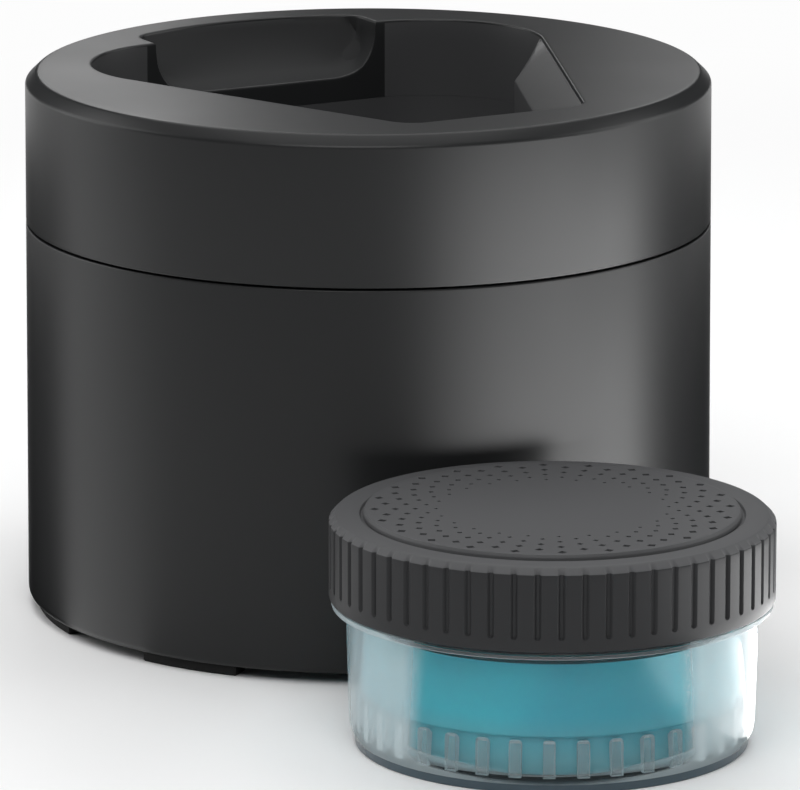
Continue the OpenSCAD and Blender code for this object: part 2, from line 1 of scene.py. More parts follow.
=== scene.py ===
"""Looks of the shaver cleaning station: the pod with its lift-off top, and the capped fluid cartridge.

Lengths are written in millimetres and turned into metres by MM. The axes of the pod and of the
cartridge come from the frame, and outlines repeat the named sizes of the part's source.
"""

import json
import math

import bmesh
import bpy
import numpy as np
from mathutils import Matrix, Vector


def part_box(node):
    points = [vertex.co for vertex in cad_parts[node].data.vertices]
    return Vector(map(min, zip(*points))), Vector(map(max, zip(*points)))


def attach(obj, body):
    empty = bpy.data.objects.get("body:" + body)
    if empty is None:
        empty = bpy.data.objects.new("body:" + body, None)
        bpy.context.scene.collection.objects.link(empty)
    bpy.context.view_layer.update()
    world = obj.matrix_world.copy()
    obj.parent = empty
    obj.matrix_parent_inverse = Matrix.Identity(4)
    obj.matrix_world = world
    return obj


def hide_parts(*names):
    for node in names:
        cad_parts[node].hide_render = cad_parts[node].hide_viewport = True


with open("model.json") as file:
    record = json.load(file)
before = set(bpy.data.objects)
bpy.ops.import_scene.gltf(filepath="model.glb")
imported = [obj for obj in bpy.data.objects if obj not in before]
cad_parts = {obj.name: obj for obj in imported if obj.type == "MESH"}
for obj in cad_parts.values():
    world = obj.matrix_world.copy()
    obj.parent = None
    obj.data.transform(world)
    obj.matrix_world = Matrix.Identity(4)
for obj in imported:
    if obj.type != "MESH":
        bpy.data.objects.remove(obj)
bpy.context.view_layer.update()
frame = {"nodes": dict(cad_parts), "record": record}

MM = 0.001


def centre_of(node):
    """The middle of a node's box seen from above, in millimetres."""
    low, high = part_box(node)
    return np.array([low.x + high.x, low.y + high.y]) / 2 / MM


def top_of(node):
    """Height of a node's top, in millimetres."""
    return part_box(node)[1].z / MM


def bottom_of(node):
    """Height of a node's underside, in millimetres."""
    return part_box(node)[0].z / MM


POD = centre_of("top_cover")
STAND = centre_of("cartridge_cap")

# Pod
POD_H = top_of("top_cover")
POD_R = 65.4
DRAFT = 0.4
WALL = 2.2
SKIN = 2.0
SEAM_Z = bottom_of("top_cover")
SEAM_GAP = 0.4
BASE_TOP = SEAM_Z - SEAM_GAP
CHAMFER_W = 2.1
CHAMFER_H = 2.0
EDGE_R = 1.6
FOOT_H = top_of("rubber_feet")
FOOT_W = 4.5
FOOT_SPAN = 18.5
FEET = 9
TONGUE_TOP = top_of("base_shell")
TONGUE_W = 1.4
STEP_DOWN = 4.5
STEP_SLOPE = 2.5
SLIP = 0.25
BASIN_RIM = top_of("shaver_basin")
CHASSIS_TOP = bottom_of("shaver_basin")
COLLAR_Z = top_of("basin_gasket")
WELL_FLOOR = bottom_of("drain_sieve")
JOINT_Z = BASIN_RIM + 0.03
JOINT_LIP = 0.35
BASIN_ROUND = 2.5
BOSS_RING = 58.3
BOSS_R = 3.0
BOSS_BORE = 1.2
BOSS_REAR = 48.2
BOSS_FRONT = -71.5

# Opening
LOBE = np.array([24.0, 20.0])
LOBE_R = 22.0
NOSE = np.array([14.5, -44.5])
NOSE_R = 6.0
SHELF_W = 6.8
SHELF_TILT = math.radians(41.6)
CUSP_A = -17.5
CUSP_TURN = -50.5
KNEE_R = 6.0
SCOOP_X = 24.0
SCOOP_REACH = 55.8
SCOOP_CORNER = 5.0
SCOOP_DEPTH = 11.0
SCOOP_CURVE = 20.0
SCOOP_ROUND = 10.0
MOUTH_EASE = 0.45
LEAF_R = 4.2
LIP_R = 0.5

# Release button
BUTTON_W = 22.0
BUTTON_H = 10.0
BUTTON_Z = bottom_of("release_button")
BUTTON_BACK = 54.0
BUTTON_CORNER = 1.1
DISH_R = 18.5
DISH_IN = 1.5
HOOK_W = 10.0
HOOK_T = 2.0
HOOK_TOP = top_of("release_button")
PIN_R = 1.6
PIN_H = 5.0

# Cartridge
CAP_Z = bottom_of("cartridge_cap")
CAP_TOP = bottom_of("cap_disc")
CAP_R = 40.0
CAP_CHAMFER = 1.25
CAP_INNER = 35.6
GROOVES = 60
GROOVE_W = 1.1
GROOVE_D = 0.6
GROOVE_FOOT = 2.3
DISC_R = 33.8
DISC_TOP = top_of("cap_disc")
DISC_WEDGES = 24
DIAMOND_SINK = 0.35
# Radius of each ring of diamonds and the side of one diamond
DIAMONDS = (
    (31.8, 1.30), (30.0, 1.20), (28.1, 1.08), (26.3, 0.96), (24.5, 0.84), (22.6, 0.72), (20.8, 0.60),
)
FLANGE_Z = 25.4
FLANGE_T = 1.1
FLANGE_R = 39.6
NECK_R = 34.5
NECK_TOP = top_of("cartridge_tub")
TUB_WALL = 1.2
TUB_R = 37.0
TUB_DRAFT = 0.7
TUB_FLOOR = 2.6
TUB_RIM = 1.5
TUB_ROUND = 4.6
RIBS = 36
RIB_H = 6.8
RIB_W = 2.2
FLUID_TOP = top_of("cleaning_fluid")


# ---------------------------------------------------------------- outlines


def unit(angle):
    """The direction of an angle in degrees."""
    a = math.radians(angle)
    return np.array([math.cos(a), math.sin(a)])


def arc(centre, radius, start, end, count):
    """Points along an arc, both ends included."""
    return np.array([centre + radius * unit(a) for a in np.linspace(start, end, count)])


def line(a, b, count):
    """Points along a straight run, without its first end."""
    return np.array([a + (np.asarray(b) - a) * t for t in np.linspace(0, 1, count + 1)[1:]])


def tangent_normal(c1, r1, c2, r2):
    """Outward normal of the line that touches two circles on their right."""
    step = c2 - c1
    u = step / np.linalg.norm(step)
    s = (r1 - r2) / np.linalg.norm(step)
    k = math.sqrt(1 - s * s)
    return np.array([u[0] * s - u[1] * k, u[1] * s + u[0] * k])


def meet(n1, h1, n2, h2):
    """The point where two lines meet, each given by its normal and its distance from the axis."""
    return np.linalg.solve(np.array([n1, n2]), np.array([h1, h2]))


SIDE_N = tangent_normal(LOBE, LOBE_R, NOSE, NOSE_R)
SIDE_A = math.degrees(math.atan2(SIDE_N[1], SIDE_N[0]))
SIDE_D = float(SIDE_N @ LOBE) + LOBE_R
SIDE_T = np.array([SIDE_N[1], -SIDE_N[0]])
FRONT_D = NOSE_R - NOSE[1]
LIP_Y = LOBE[1] + LOBE_R
CUSP = LOBE + LOBE_R * unit(CUSP_A)
CUSP_N = unit(CUSP_TURN)
KNEE = meet(CUSP_N, float(CUSP_N @ CUSP) + KNEE_R, SIDE_N, SIDE_D - SHELF_W + KNEE_R)
TOE_Y = SHELF_W + NOSE_R - FRONT_D
TOE = np.array([(SIDE_D - SHELF_W - NOSE_R - SIDE_N[1] * TOE_Y) / SIDE_N[0], TOE_Y])
SCOOP_C = np.array([SCOOP_X - SCOOP_CORNER, 0.0])
SCOOP_C[1] = math.sqrt((SCOOP_REACH - SCOOP_CORNER) ** 2 - SCOOP_C[0] ** 2)
SCOOP_TURN = math.degrees(math.atan2(SCOOP_C[1], SCOOP_C[0]))

# Points along each side of the button's outline
BUTTON_SIDE = 24
# Rows down the shelf and the scoop, round their lower edge, and down the well's wall
SLOPE_ROWS, EDGE_ROWS, WALL_ROWS = 34, 8, 6
# Points in each stretch of the half outline, from the rear to the front
N_REAR, N_CORNER, N_CHEEK = 30, 28, 22
N_LOBE, N_VEE, N_KNEE, N_SIDE, N_NOSE, N_FRONT = 64, 24, 16, 40, 26, 14


def mouth_half(g=0.0):
    """Right-hand half of the opening's outline in the top face, grown by g."""
    corner = np.array([SCOOP_X + g, LOBE[1] + math.sqrt((LOBE_R + g) ** 2 - g * g)])
    rear = arc(np.zeros(2), SCOOP_REACH + g, 90, SCOOP_TURN, N_REAR + 1)[:-1]
    turn = arc(SCOOP_C, SCOOP_CORNER + g, SCOOP_TURN, 0, N_CORNER + 1)
    cheek = line(turn[-1], corner, N_CHEEK)
    start = math.degrees(math.atan2(math.sqrt((LOBE_R + g) ** 2 - g * g), g))
    lobe = arc(LOBE, LOBE_R + g, start, CUSP_A, N_LOBE + 1)[1:]
    side_start = LOBE + (LOBE_R + g) * SIDE_N
    side_end = NOSE + (NOSE_R + g) * SIDE_N

    def level_with(inner):
        return side_start + float((inner - side_start) @ SIDE_T) * SIDE_T

    vee = line(lobe[-1], level_with(KNEE - KNEE_R * CUSP_N), N_VEE)
    knee = line(vee[-1], level_with(KNEE - KNEE_R * SIDE_N), N_KNEE)
    side = line(knee[-1], side_end, N_SIDE)
    nose = arc(NOSE, NOSE_R + g, SIDE_A, -90, N_NOSE + 1)[1:]
    front = line(nose[-1], [0, -FRONT_D - g], N_FRONT)
    return np.vstack([rear, turn, cheek, lobe, vee, knee, side, nose, front])


def well_half(g=0.0):
    """The well's outline below the shelf, grown by g, point for point with the opening's."""
    reach = float(CUSP_N @ (CUSP - LOBE)) + g
    leave = CUSP_TURN + math.degrees(math.acos(reach / (LOBE_R + g)))
    across = np.linspace(0, 1, N_REAR + N_CORNER + N_CHEEK + 1)
    lip = np.stack([SCOOP_X * across, np.full_like(across, LIP_Y + g)], axis=1)
    lobe = arc(LOBE, LOBE_R + g, 90, leave, N_LOBE + 1)[1:]
    vee = line(lobe[-1], KNEE + (g - KNEE_R) * CUSP_N, N_VEE)
    knee = arc(KNEE, g - KNEE_R, CUSP_TURN, SIDE_A, N_KNEE + 1)[1:]
    toe = arc(TOE, NOSE_R + g, SIDE_A, -90, N_NOSE + 1)
    side = line(knee[-1], toe[0], N_SIDE)
    front = line(toe[-1], [0, SHELF_W - FRONT_D - g], N_FRONT)
    return np.vstack([lip, lobe, vee, knee, side, toe[1:], front])


def whole(half):
    """A closed ring from its right-hand half."""
    left = half[-2:0:-1].copy()
    left[:, 0] *= -1
    return np.vstack([half, left])


def per_column(values):
    """One value per ring point from one value per half-outline point."""
    values = np.asarray(values, float)
    return np.concatenate([values, values[-2:0:-1]])


def lifted(ring, z):
    """A flat ring at one height, or at one height per point."""
    return np.column_stack([ring[:, 0], ring[:, 1], np.broadcast_to(z, len(ring))])


# ---------------------------------------------------------------- meshes


def finish_mesh(piece, angle=32, merge=1e-7):
    """Merges doubles, turns faces outwards and smooths all but the sharp edges."""
    bm = bmesh.new()
    bm.from_mesh(piece.data)
    bmesh.ops.remove_doubles(bm, verts=bm.verts, dist=merge)
    bmesh.ops.recalc_face_normals(bm, faces=bm.faces)
    bm.to_mesh(piece.data)
    bm.free()
    piece.data.shade_smooth()
    piece.data.set_sharp_from_angle(angle=math.radians(angle))


def new_piece(name, verts, faces, body, look, centre=(0.0, 0.0), angle=32):
    """A piece from vertices in millimetres about an upright axis through a centre."""
    mesh = bpy.data.meshes.new(name)
    points = (np.asarray(verts, float) + np.array([centre[0], centre[1], 0.0])) * MM
    mesh.from_pydata([tuple(p) for p in points], [], faces)
    piece = bpy.data.objects.new(name, mesh)
    bpy.context.collection.objects.link(piece)
    finish_mesh(piece, angle)
    return placed(piece, body, look)


def placed(piece, body, look):
    """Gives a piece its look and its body."""
    piece.data.materials.clear()
    piece.data.materials.append(look)
    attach(piece, body)
    return piece


def apply_modifiers(piece):
    """Turns a piece and its modifiers into one plain mesh."""
    bpy.context.view_layer.update()
    graph = bpy.context.evaluated_depsgraph_get()
    plain = bpy.data.meshes.new_from_object(piece.evaluated_get(graph))
    piece.modifiers.clear()
    piece.data = plain


def loft_faces(rings, close_path, caps):
    """Faces between rings of equal length, and across the rings whose places are in caps."""
    count = len(rings[0])
    faces = []
    last = len(rings) if close_path else len(rings) - 1
    for i in range(last):
        a = i * count
        b = (i + 1) % len(rings) * count
        for k in range(count):
            n = (k + 1) % count
            faces.append((a + k, a + n, b + n, b + k))
    for ring in caps:
        faces.append(tuple(ring % len(rings) * count + k for k in range(count)))
    return faces


def loft(name, rings, body, look, centre, close_path=False, caps=(), angle=32):
    """A skin over closed rings of equal length."""
    faces = loft_faces(rings, close_path, caps)
    return new_piece(name, np.vstack(rings), faces, body, look, centre, angle)


def eased(profile, steps=4):
    """A closed profile of (radius, z, easing) corners, each corner rounded by its easing."""
    points = []
    for i, (r, z, ease) in enumerate(profile):
        here = np.array([r, z], float)
        if ease <= 0:
            points.append(here)
            continue
        before = np.array(profile[i - 1][:2], float) - here
        after = np.array(profile[(i + 1) % len(profile)][:2], float) - here
        a = here + before / np.linalg.norm(before) * ease
        b = here + after / np.linalg.norm(after) * ease
        for t in np.linspace(0, 1, steps + 1):
            points.append((1 - t) ** 2 * a + 2 * t * (1 - t) * here + t * t * b)
    return points


def circle_ring(radius, z, count):
    """A level circle of points round the axis."""
    a = np.linspace(0, 2 * np.pi, count, endpoint=False)
    return np.column_stack([radius * np.cos(a), radius * np.sin(a), np.full(count, float(z))])


def turned(name, profile, body, look, centre, count=256, steps=4):
    """A closed profile turned about an upright axis."""
    rings = [circle_ring(max(r, 0.0), z, count) for r, z in eased(profile, steps)]
    return loft(name, rings, body, look, centre, close_path=True)


def pod_radius(z):
    """Radius of the pod's drafted wall at a height."""
    return POD_R - DRAFT * z / POD_H


def tub_radius(z):
    """Radius of the tub's drafted wall at a height."""
    return TUB_R - TUB_DRAFT * (FLANGE_Z - z) / FLANGE_Z


# ---------------------------------------------------------------- what repeats round an axis


def spin_tree():
    """Node tree that sets copies of a wedge evenly round an upright axis and joins them."""
    tree = bpy.data.node_groups.new("set_round_an_axis", "GeometryNodeTree")
    for label, kind in (
        ("Wedge", "NodeSocketGeometry"), ("Count", "NodeSocketInt"),
        ("Centre", "NodeSocketVector"), ("Join distance", "NodeSocketFloat"),
        ("Finish", "NodeSocketMaterial"),
    ):
        tree.interface.new_socket(label, in_out="INPUT", socket_type=kind)
    tree.interface.new_socket("Ring", in_out="OUTPUT", socket_type="NodeSocketGeometry")
    add, link = tree.nodes.new, tree.links.new
    given, result = add("NodeGroupInput"), add("NodeGroupOutput")

    points = add("GeometryNodePoints")
    link(given.outputs["Count"], points.inputs["Count"])
    step = add("ShaderNodeMath")
    step.operation = "DIVIDE"
    step.inputs[0].default_value = 2 * math.pi
    link(given.outputs["Count"], step.inputs[1])
    angle = add("ShaderNodeMath")
    angle.operation = "MULTIPLY"
    link(add("GeometryNodeInputIndex").outputs["Index"], angle.inputs[0])
    link(step.outputs[0], angle.inputs[1])
    turn = add("FunctionNodeAxisAngleToRotation")
    turn.inputs["Axis"].default_value = (0, 0, 1)
    link(angle.outputs[0], turn.inputs["Angle"])

    copies = add("GeometryNodeInstanceOnPoints")
    link(points.outputs[0], copies.inputs["Points"])
    link(given.outputs["Wedge"], copies.inputs["Instance"])
    link(turn.outputs["Rotation"], copies.inputs["Rotation"])
    real = add("GeometryNodeRealizeInstances")
    link(copies.outputs["Instances"], real.inputs["Geometry"])
    joined = add("GeometryNodeMergeByDistance")
    link(real.outputs["Geometry"], joined.inputs["Geometry"])
    link(given.outputs["Join distance"], joined.inputs["Distance"])
    moved = add("GeometryNodeTransform")
    link(joined.outputs["Geometry"], moved.inputs["Geometry"])
    link(given.outputs["Centre"], moved.inputs["Translation"])
    finish = add("GeometryNodeSetMaterial")
    link(moved.outputs["Geometry"], finish.inputs["Geometry"])
    link(given.outputs["Finish"], finish.inputs["Material"])
    link(finish.outputs["Geometry"], result.inputs["Ring"])
    return tree


SPIN_TREE = spin_tree()


def spun(name, verts, faces, count, body, look, centre, angle=32):
    """Copies of one wedge, set round an axis by the node tree and turned into one plain mesh."""
    mesh = bpy.data.meshes.new(name)
    mesh.from_pydata([tuple(p) for p in np.asarray(verts, float) * MM], [], faces)
    piece = bpy.data.objects.new(name, mesh)
    bpy.context.collection.objects.link(piece)
    repeat = piece.modifiers.new("repeat", "NODES")
    repeat.node_group = SPIN_TREE
    sockets = {s.name: s.identifier for s in SPIN_TREE.interface.items_tree if s.in_out == "INPUT"}
    repeat[sockets["Count"]] = count
    repeat[sockets["Centre"]] = (centre[0] * MM, centre[1] * MM, 0.0)
    repeat[sockets["Join distance"]] = 1e-6
    repeat[sockets["Finish"]] = look
    apply_modifiers(piece)
    finish_mesh(piece, angle)
    return placed(piece, body, look)


def wedge_grid(rows, columns, point):
    """Vertices and faces of a grid, with point(row, column) giving each place."""
    verts = [point(r, c) for r in rows for c in columns]
    wide = len(columns)
    faces = [
        (i * wide + k, i * wide + k + 1, (i + 1) * wide + k + 1, (i + 1) * wide + k)
        for i in range(len(rows) - 1) for k in range(wide - 1)
    ]
    return verts, faces


# ---------------------------------------------------------------- materials


def shader(name, colour, rough, specular=0.5, metallic=0.0):
    """A named material and its principled shader. Colours are linear values."""
    mat = bpy.data.materials.new(name)
    mat.use_nodes = True
    bsdf = mat.node_tree.nodes["Principled BSDF"]
    bsdf.inputs["Base Color"].default_value = (*colour, 1.0)
    bsdf.inputs["Roughness"].default_value = rough
    bsdf.inputs["Metallic"].default_value = metallic
    bsdf.inputs["Specular IOR Level"].default_value = specular
    return mat, bsdf


def add_grain(mat, bsdf, scale, depth, rough_low, rough_high):
    """A fine moulded texture: noise in the bump and a slow change of gloss."""
    nodes, links = mat.node_tree.nodes, mat.node_tree.links
    place = nodes.new("ShaderNodeTexCoord")
    grain = nodes.new("ShaderNodeTexNoise")
    grain.inputs["Scale"].default_value = scale
    grain.inputs["Detail"].default_value = 3.0
    links.new(place.outputs["Object"], grain.inputs["Vector"])
    bump = nodes.new("ShaderNodeBump")
    bump.inputs["Strength"].default_value = 0.25
    bump.inputs["Distance"].default_value = depth
    links.new(grain.outputs["Fac"], bump.inputs["Height"])
    links.new(bump.outputs["Normal"], bsdf.inputs["Normal"])
    drift = nodes.new("ShaderNodeTexNoise")
    drift.inputs["Scale"].default_value = 35.0
    drift.inputs["Detail"].default_value = 2.0
    links.new(place.outputs["Object"], drift.inputs["Vector"])
    spread = nodes.new("ShaderNodeMapRange")
    spread.inputs["To Min"].default_value = rough_low
    spread.inputs["To Max"].default_value = rough_high
    links.new(drift.outputs["Fac"], spread.inputs["Value"])
    links.new(spread.outputs["Result"], bsdf.inputs["Roughness"])


def grained(name, colour, rough, specular, scale, depth, metallic=0.0):
    """A material with a fine moulded grain."""
    mat, bsdf = shader(name, colour, rough, specular, metallic)
    add_grain(mat, bsdf, scale, depth, rough - 0.03, rough + 0.04)
    return mat


def clear_look(name, colour, haze, edge_haze_and_reflection, rough=0.12):
    """Clear moulded plastic, faintly hazy face on and milkier where its wall is seen edge on; the
    sharp step to the milky edge also paints pale bands of reflected light.
    """
    mat, bsdf = shader(name, colour, rough, 0.08)
    nodes, links = mat.node_tree.nodes, mat.node_tree.links
    edge = nodes.new("ShaderNodeLayerWeight")
    edge.inputs["Blend"].default_value = 0.5
    # The milky edge band is partly edge haze and partly a painted reflection
    milk = nodes.new("ShaderNodeMapRange")
    milk.interpolation_type = "SMOOTHSTEP"
    milk.inputs["From Min"].default_value = 0.26
    milk.inputs["From Max"].default_value = 0.38
    milk.inputs["To Min"].default_value = haze
    milk.inputs["To Max"].default_value = edge_haze_and_reflection
    links.new(edge.outputs["Facing"], milk.inputs["Value"])
    links.new(milk.outputs["Result"], bsdf.inputs["Alpha"])
    return mat


def fluid_look():
    """Teal washing fluid: cloudy, and greyer low down."""
    mat, bsdf = shader("teal_fluid", (0.03, 0.36, 0.42), 0.25, 0.3)
    nodes, links = mat.node_tree.nodes, mat.node_tree.links
    place = nodes.new("ShaderNodeTexCoord")
    split = nodes.new("ShaderNodeSeparateXYZ")
    links.new(place.outputs["Object"], split.inputs[0])
    depth = nodes.new("ShaderNodeMapRange")
    depth.inputs["From Min"].default_value = (TUB_FLOOR + 2.0) * MM
    depth.inputs["From Max"].default_value = (TUB_FLOOR + RIB_H + 4.0) * MM
    links.new(split.outputs["Z"], depth.inputs["Value"])
    cloud = nodes.new("ShaderNodeTexNoise")
    cloud.inputs["Scale"].default_value = 25.0
    links.new(place.outputs["Object"], cloud.inputs["Vector"])
    contrast = nodes.new("ShaderNodeMapRange")
    contrast.inputs["From Min"].default_value = 0.35
    contrast.inputs["From Max"].default_value = 0.65
    links.new(cloud.outputs["Fac"], contrast.inputs["Value"])
    tone = nodes.new("ShaderNodeMix")
    tone.data_type = "RGBA"
    tone.inputs["A"].default_value = (0.003, 0.44, 0.58, 1.0)
    tone.inputs["B"].default_value = (0.02, 0.68, 0.80, 1.0)
    links.new(contrast.outputs["Result"], tone.inputs["Factor"])
    dye = nodes.new("ShaderNodeMix")
    dye.data_type = "RGBA"
    dye.inputs["A"].default_value = (0.12, 0.42, 0.49, 1.0)
    links.new(depth.outputs["Result"], dye.inputs["Factor"])
    links.new(tone.outputs["Result"], dye.inputs["B"])
    links.new(dye.outputs["Result"], bsdf.inputs["Base Color"])
    return mat


CHARCOAL = grained("charcoal_plastic", (0.0135, 0.014, 0.0145), 0.35, 0.24, 2600, 0.00002)
# A lighter copy of the charcoal plastic: painted light on the well's walls and floor, and a painted
# highlight on the shelf's rounded lower edge
WELL_PAINTED_LIGHT = grained("well_painted_light", (0.050, 0.0505, 0.052), 0.46, 0.2, 2200, 0.00002)
# A lighter, less glossy copy of the charcoal plastic for the scoop: painted light
SCOOP_PAINTED_LIGHT = grained("scoop_painted_light", (0.022, 0.0225, 0.023), 0.5, 0.07, 2200, 0.00002)
# A darker grey for the cap's skirt than the disc grey on its top: painted shade on the cap's sides
CAP_GREY_PAINTED_SHADE = grained("cap_painted_shade", (0.033, 0.0335, 0.035), 0.42, 0.1, 2200, 0.00003)
DISC_GREY = grained("disc_plastic", (0.078, 0.079, 0.082), 0.55, 0.25, 2600, 0.00003)
INNER = grained("inner_plastic", (0.085, 0.086, 0.09), 0.5, 0.35, 1800, 0.00003)
RUBBER = grained("foot_rubber", (0.010, 0.010, 0.010), 0.8, 0.25, 1500, 0.00005)
STEEL = grained("bright_steel", (0.55, 0.55, 0.56), 0.28, 0.5, 900, 0.00001, 1.0)
WRAP = grained("cell_wrap", (0.05, 0.07, 0.11), 0.35, 0.5, 300, 0.00001)
BOARD = grained("board_green", (0.02, 0.10, 0.045), 0.42, 0.5, 800, 0.00002)
TUB = clear_look("tub_plastic", (0.60, 0.70, 0.73), 0.045, 0.50)
# Opaque dark slate on the clear tub's base rim: painted shade under the tub
RIM_PAINTED_SHADE = shader("rim_painted_shade", (0.055, 0.085, 0.105), 0.2, 0.4)[0]
RIB = clear_look("rib_plastic", (0.66, 0.76, 0.79), 0.16, 0.75, 0.25)
FLUID = fluid_look()

SLOT_LOOK = {
    "charcoal": CHARCOAL, "rubber": RUBBER, "inner_plastic": INNER, "steel": STEEL,
    "cell_wrap": WRAP, "board": BOARD, "clear_tub": TUB, "fluid": FLUID, "cap_grey": CAP_GREY_PAINTED_SHADE,
}


# ---------------------------------------------------------------- the pod's top


def scoop_floor(points):
    """Height of the scoop under each point: a hollow slope from rim to lip, its corners rounded."""
    run = np.array([SCOOP_REACH - LIP_Y, SCOOP_DEPTH])
    chord = np.linalg.norm(run)
    off = math.sqrt(SCOOP_CURVE ** 2 - (chord / 2) ** 2)
    cy = (SCOOP_REACH + LIP_Y) / 2 - off * run[1] / chord
    cz = POD_H - SCOOP_DEPTH / 2 + off * run[0] / chord
    rim_y = np.sqrt(SCOOP_REACH ** 2 - points[:, 0] ** 2)
    y = LIP_Y + (points[:, 1] - LIP_Y) * run[0] / (rim_y - LIP_Y)
    slope = cz - np.sqrt(np.maximum(SCOOP_CURVE ** 2 - (y - cy) ** 2, 0))
    low = POD_H - SCOOP_DEPTH - 0.5
    past = np.clip(np.abs(points[:, 0]) - (SCOOP_X - SCOOP_ROUND), 0, SCOOP_ROUND)
    trough = low + SCOOP_ROUND - np.sqrt(SCOOP_ROUND ** 2 - past ** 2)
    return soft_max(slope, trough, 3.0)


def soft_max(a, b, k):
    """The larger of two heights, blended where they differ by less than k."""
    mix = np.clip(0.5 + 0.5 * (b - a) / k, 0, 1)
    return a * (1 - mix) + b * mix + k * mix * (1 - mix)


def edge_reach():
    """How far the rounding of each column's lower edge reaches along the slope and down the wall."""
    scoop = np.full(N_REAR + N_CORNER + N_CHEEK + 1, LIP_R)
    lobe = np.zeros(N_LOBE)
    grow = np.minimum(1.8 * np.linspace(0, 1, N_VEE + 1)[1:], 1.0)
    ease_off = np.linspace(0, 1, N_KNEE + 1)[1:]
    ease_off = ease_off * ease_off * (3 - 2 * ease_off)
    tangent = math.tan((math.pi / 2 - SHELF_TILT) / 2)
    leaf = LEAF_R * grow * tangent
    knee = (LEAF_R * (1 - ease_off) + LIP_R * ease_off) * tangent
    rest = np.full(N_SIDE + N_NOSE + N_FRONT, LIP_R * tangent)
    return per_column(np.concatenate([scoop, lobe, leaf, knee, rest]))


def pod_top():
    """The lift-off top, with the opening, the shelf, the scoop and the well's upper wall."""
    mouth, well = whole(mouth_half()), whole(well_half())
    bearing = mouth / np.linalg.norm(mouth, axis=1)[:, None]
    span = np.linalg.norm(well - mouth, axis=1)
    n_scoop = N_REAR + N_CORNER + N_CHEEK + 1
    in_scoop = per_column(np.arange(len(mouth_half())) < n_scoop) > 0.5
    start = POD_H - MOUTH_EASE
    step = np.where(in_scoop, 0.0, np.minimum(span / 2, 1.0))
    drop = np.minimum(span, SHELF_W) * math.tan(SHELF_TILT)
    foot = np.where(in_scoop, scoop_floor(well), np.minimum(POD_H - drop, start))

    def surface(s):
        """Places on the shelf or the scoop, s from 0 at the opening's edge to 1 over the well's."""
        xy = mouth + (well - mouth) * s[:, None]
        lip = 0.35 * step * np.clip(1 - s * span / 0.5, 0, 1) ** 2
        shelf = start - 0.3 * step + (foot - start + 0.3 * step) * s + lip * 0.4 * s
        z = np.where(in_scoop, np.minimum(scoop_floor(xy), start), shelf)
        return lifted(xy, z)

    rings = []
    # The profile's last corner only steers the easing before it
    outer = eased([
        (pod_radius(SEAM_Z) - WALL, SEAM_Z, 0), (pod_radius(SEAM_Z), SEAM_Z, 0.3),
        (pod_radius(POD_H - CHAMFER_H), POD_H - CHAMFER_H, 0.45),
        (pod_radius(POD_H) - CHAMFER_W, POD_H, 0.45), (50.0, POD_H, 0),
    ])[:-1]
    for r, z in outer:
        rings.append(lifted(bearing * r, z))
    rings.append(lifted(bearing * (pod_radius(POD_H) - CHAMFER_W - 1.2), POD_H))
    rings.append(lifted(whole(mouth_half(MOUTH_EASE + 0.4)), POD_H))
    for a in np.linspace(0, math.pi / 2, 6):
        g = MOUTH_EASE * (1 - math.sin(a))
        rings.append(lifted(whole(mouth_half(g)), POD_H - MOUTH_EASE * (1 - math.cos(a))))

    reach = np.minimum(edge_reach(), 0.8 * span)
    flat = reach * np.where(in_scoop, 1.0, math.cos(SHELF_TILT))
    stop = 1 - flat / np.maximum(span, 1e-6)
    for s in np.linspace(0, 1, SLOPE_ROWS):
        rings.append(surface(s * np.where(span > 1e-6, stop, 0)))
    before = rings[-1]
    corner = lifted(well, foot)
    after = lifted(well, foot - reach)
    for t in np.linspace(0, 1, EDGE_ROWS)[1:]:
        rings.append((1 - t) ** 2 * before + 2 * t * (1 - t) * corner + t * t * after)
    for t in np.linspace(0, 1, WALL_ROWS)[1:]:
        rings.append(lifted(well, (foot - reach) * (1 - t) + JOINT_Z * t))

    outside = whole(well_half(SKIN))
    below = np.where(in_scoop, POD_H - SCOOP_DEPTH - 2.6, POD_H - 3.0 - drop)
    rings.append(lifted(whole(well_half(JOINT_LIP)), JOINT_Z))
    rings.append(lifted(whole(well_half(JOINT_LIP)), COLLAR_Z))
    rings.append(lifted(outside, COLLAR_Z))
    rings.append(lifted(outside, below))
    rings.append(lifted(whole(mouth_half(SKIN)), POD_H - WALL))
    rings.append(lifted(bearing * (pod_radius(POD_H) - WALL - 0.4), POD_H - WALL))
    piece = loft("pod_top", rings, "top", CHARCOAL, POD, close_path=True)
    piece.data.materials.append(WELL_PAINTED_LIGHT)
    piece.data.materials.append(SCOOP_PAINTED_LIGHT)
    # The scoop has its own lighter grey. The well's walls and the steep rounding along the shelf's
    # lower edge take the well's lighter grey: painted light, and on the rounding a painted highlight.
    # The flat shelf keeps the charcoal
    for face in piece.data.polygons:
        x, y, z = np.array(face.center) / MM - [POD[0], POD[1], 0]
        if math.hypot(x, y) < SCOOP_REACH + 1 and z < POD_H - MOUTH_EASE - 0.01:
            wall = y < LIP_Y - 0.1 and face.normal.z < 0.7
            face.material_index = 2 if y > LIP_Y + LIP_R else int(wall)
    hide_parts("top_cover")


def top_bosses():
    """Screw bosses under the top face."""
    for side in (1, -1):
        for label, turn in (("rear", BOSS_REAR), ("front", BOSS_FRONT)):
            place = POD + BOSS_RING * unit(turn) * np.array([side, 1])
            profile = [
                (BOSS_BORE, CHASSIS_TOP, 0.2), (BOSS_R, CHASSIS_TOP, 0.3),
                (BOSS_R, POD_H - WALL + 0.2, 0), (BOSS_BORE, POD_H - WALL + 0.2, 0),
            ]
            name = f"top_boss_{label}_{'right' if side > 0 else 'left'}"
            turned(name, profile, "top", CHARCOAL, place, count=32)


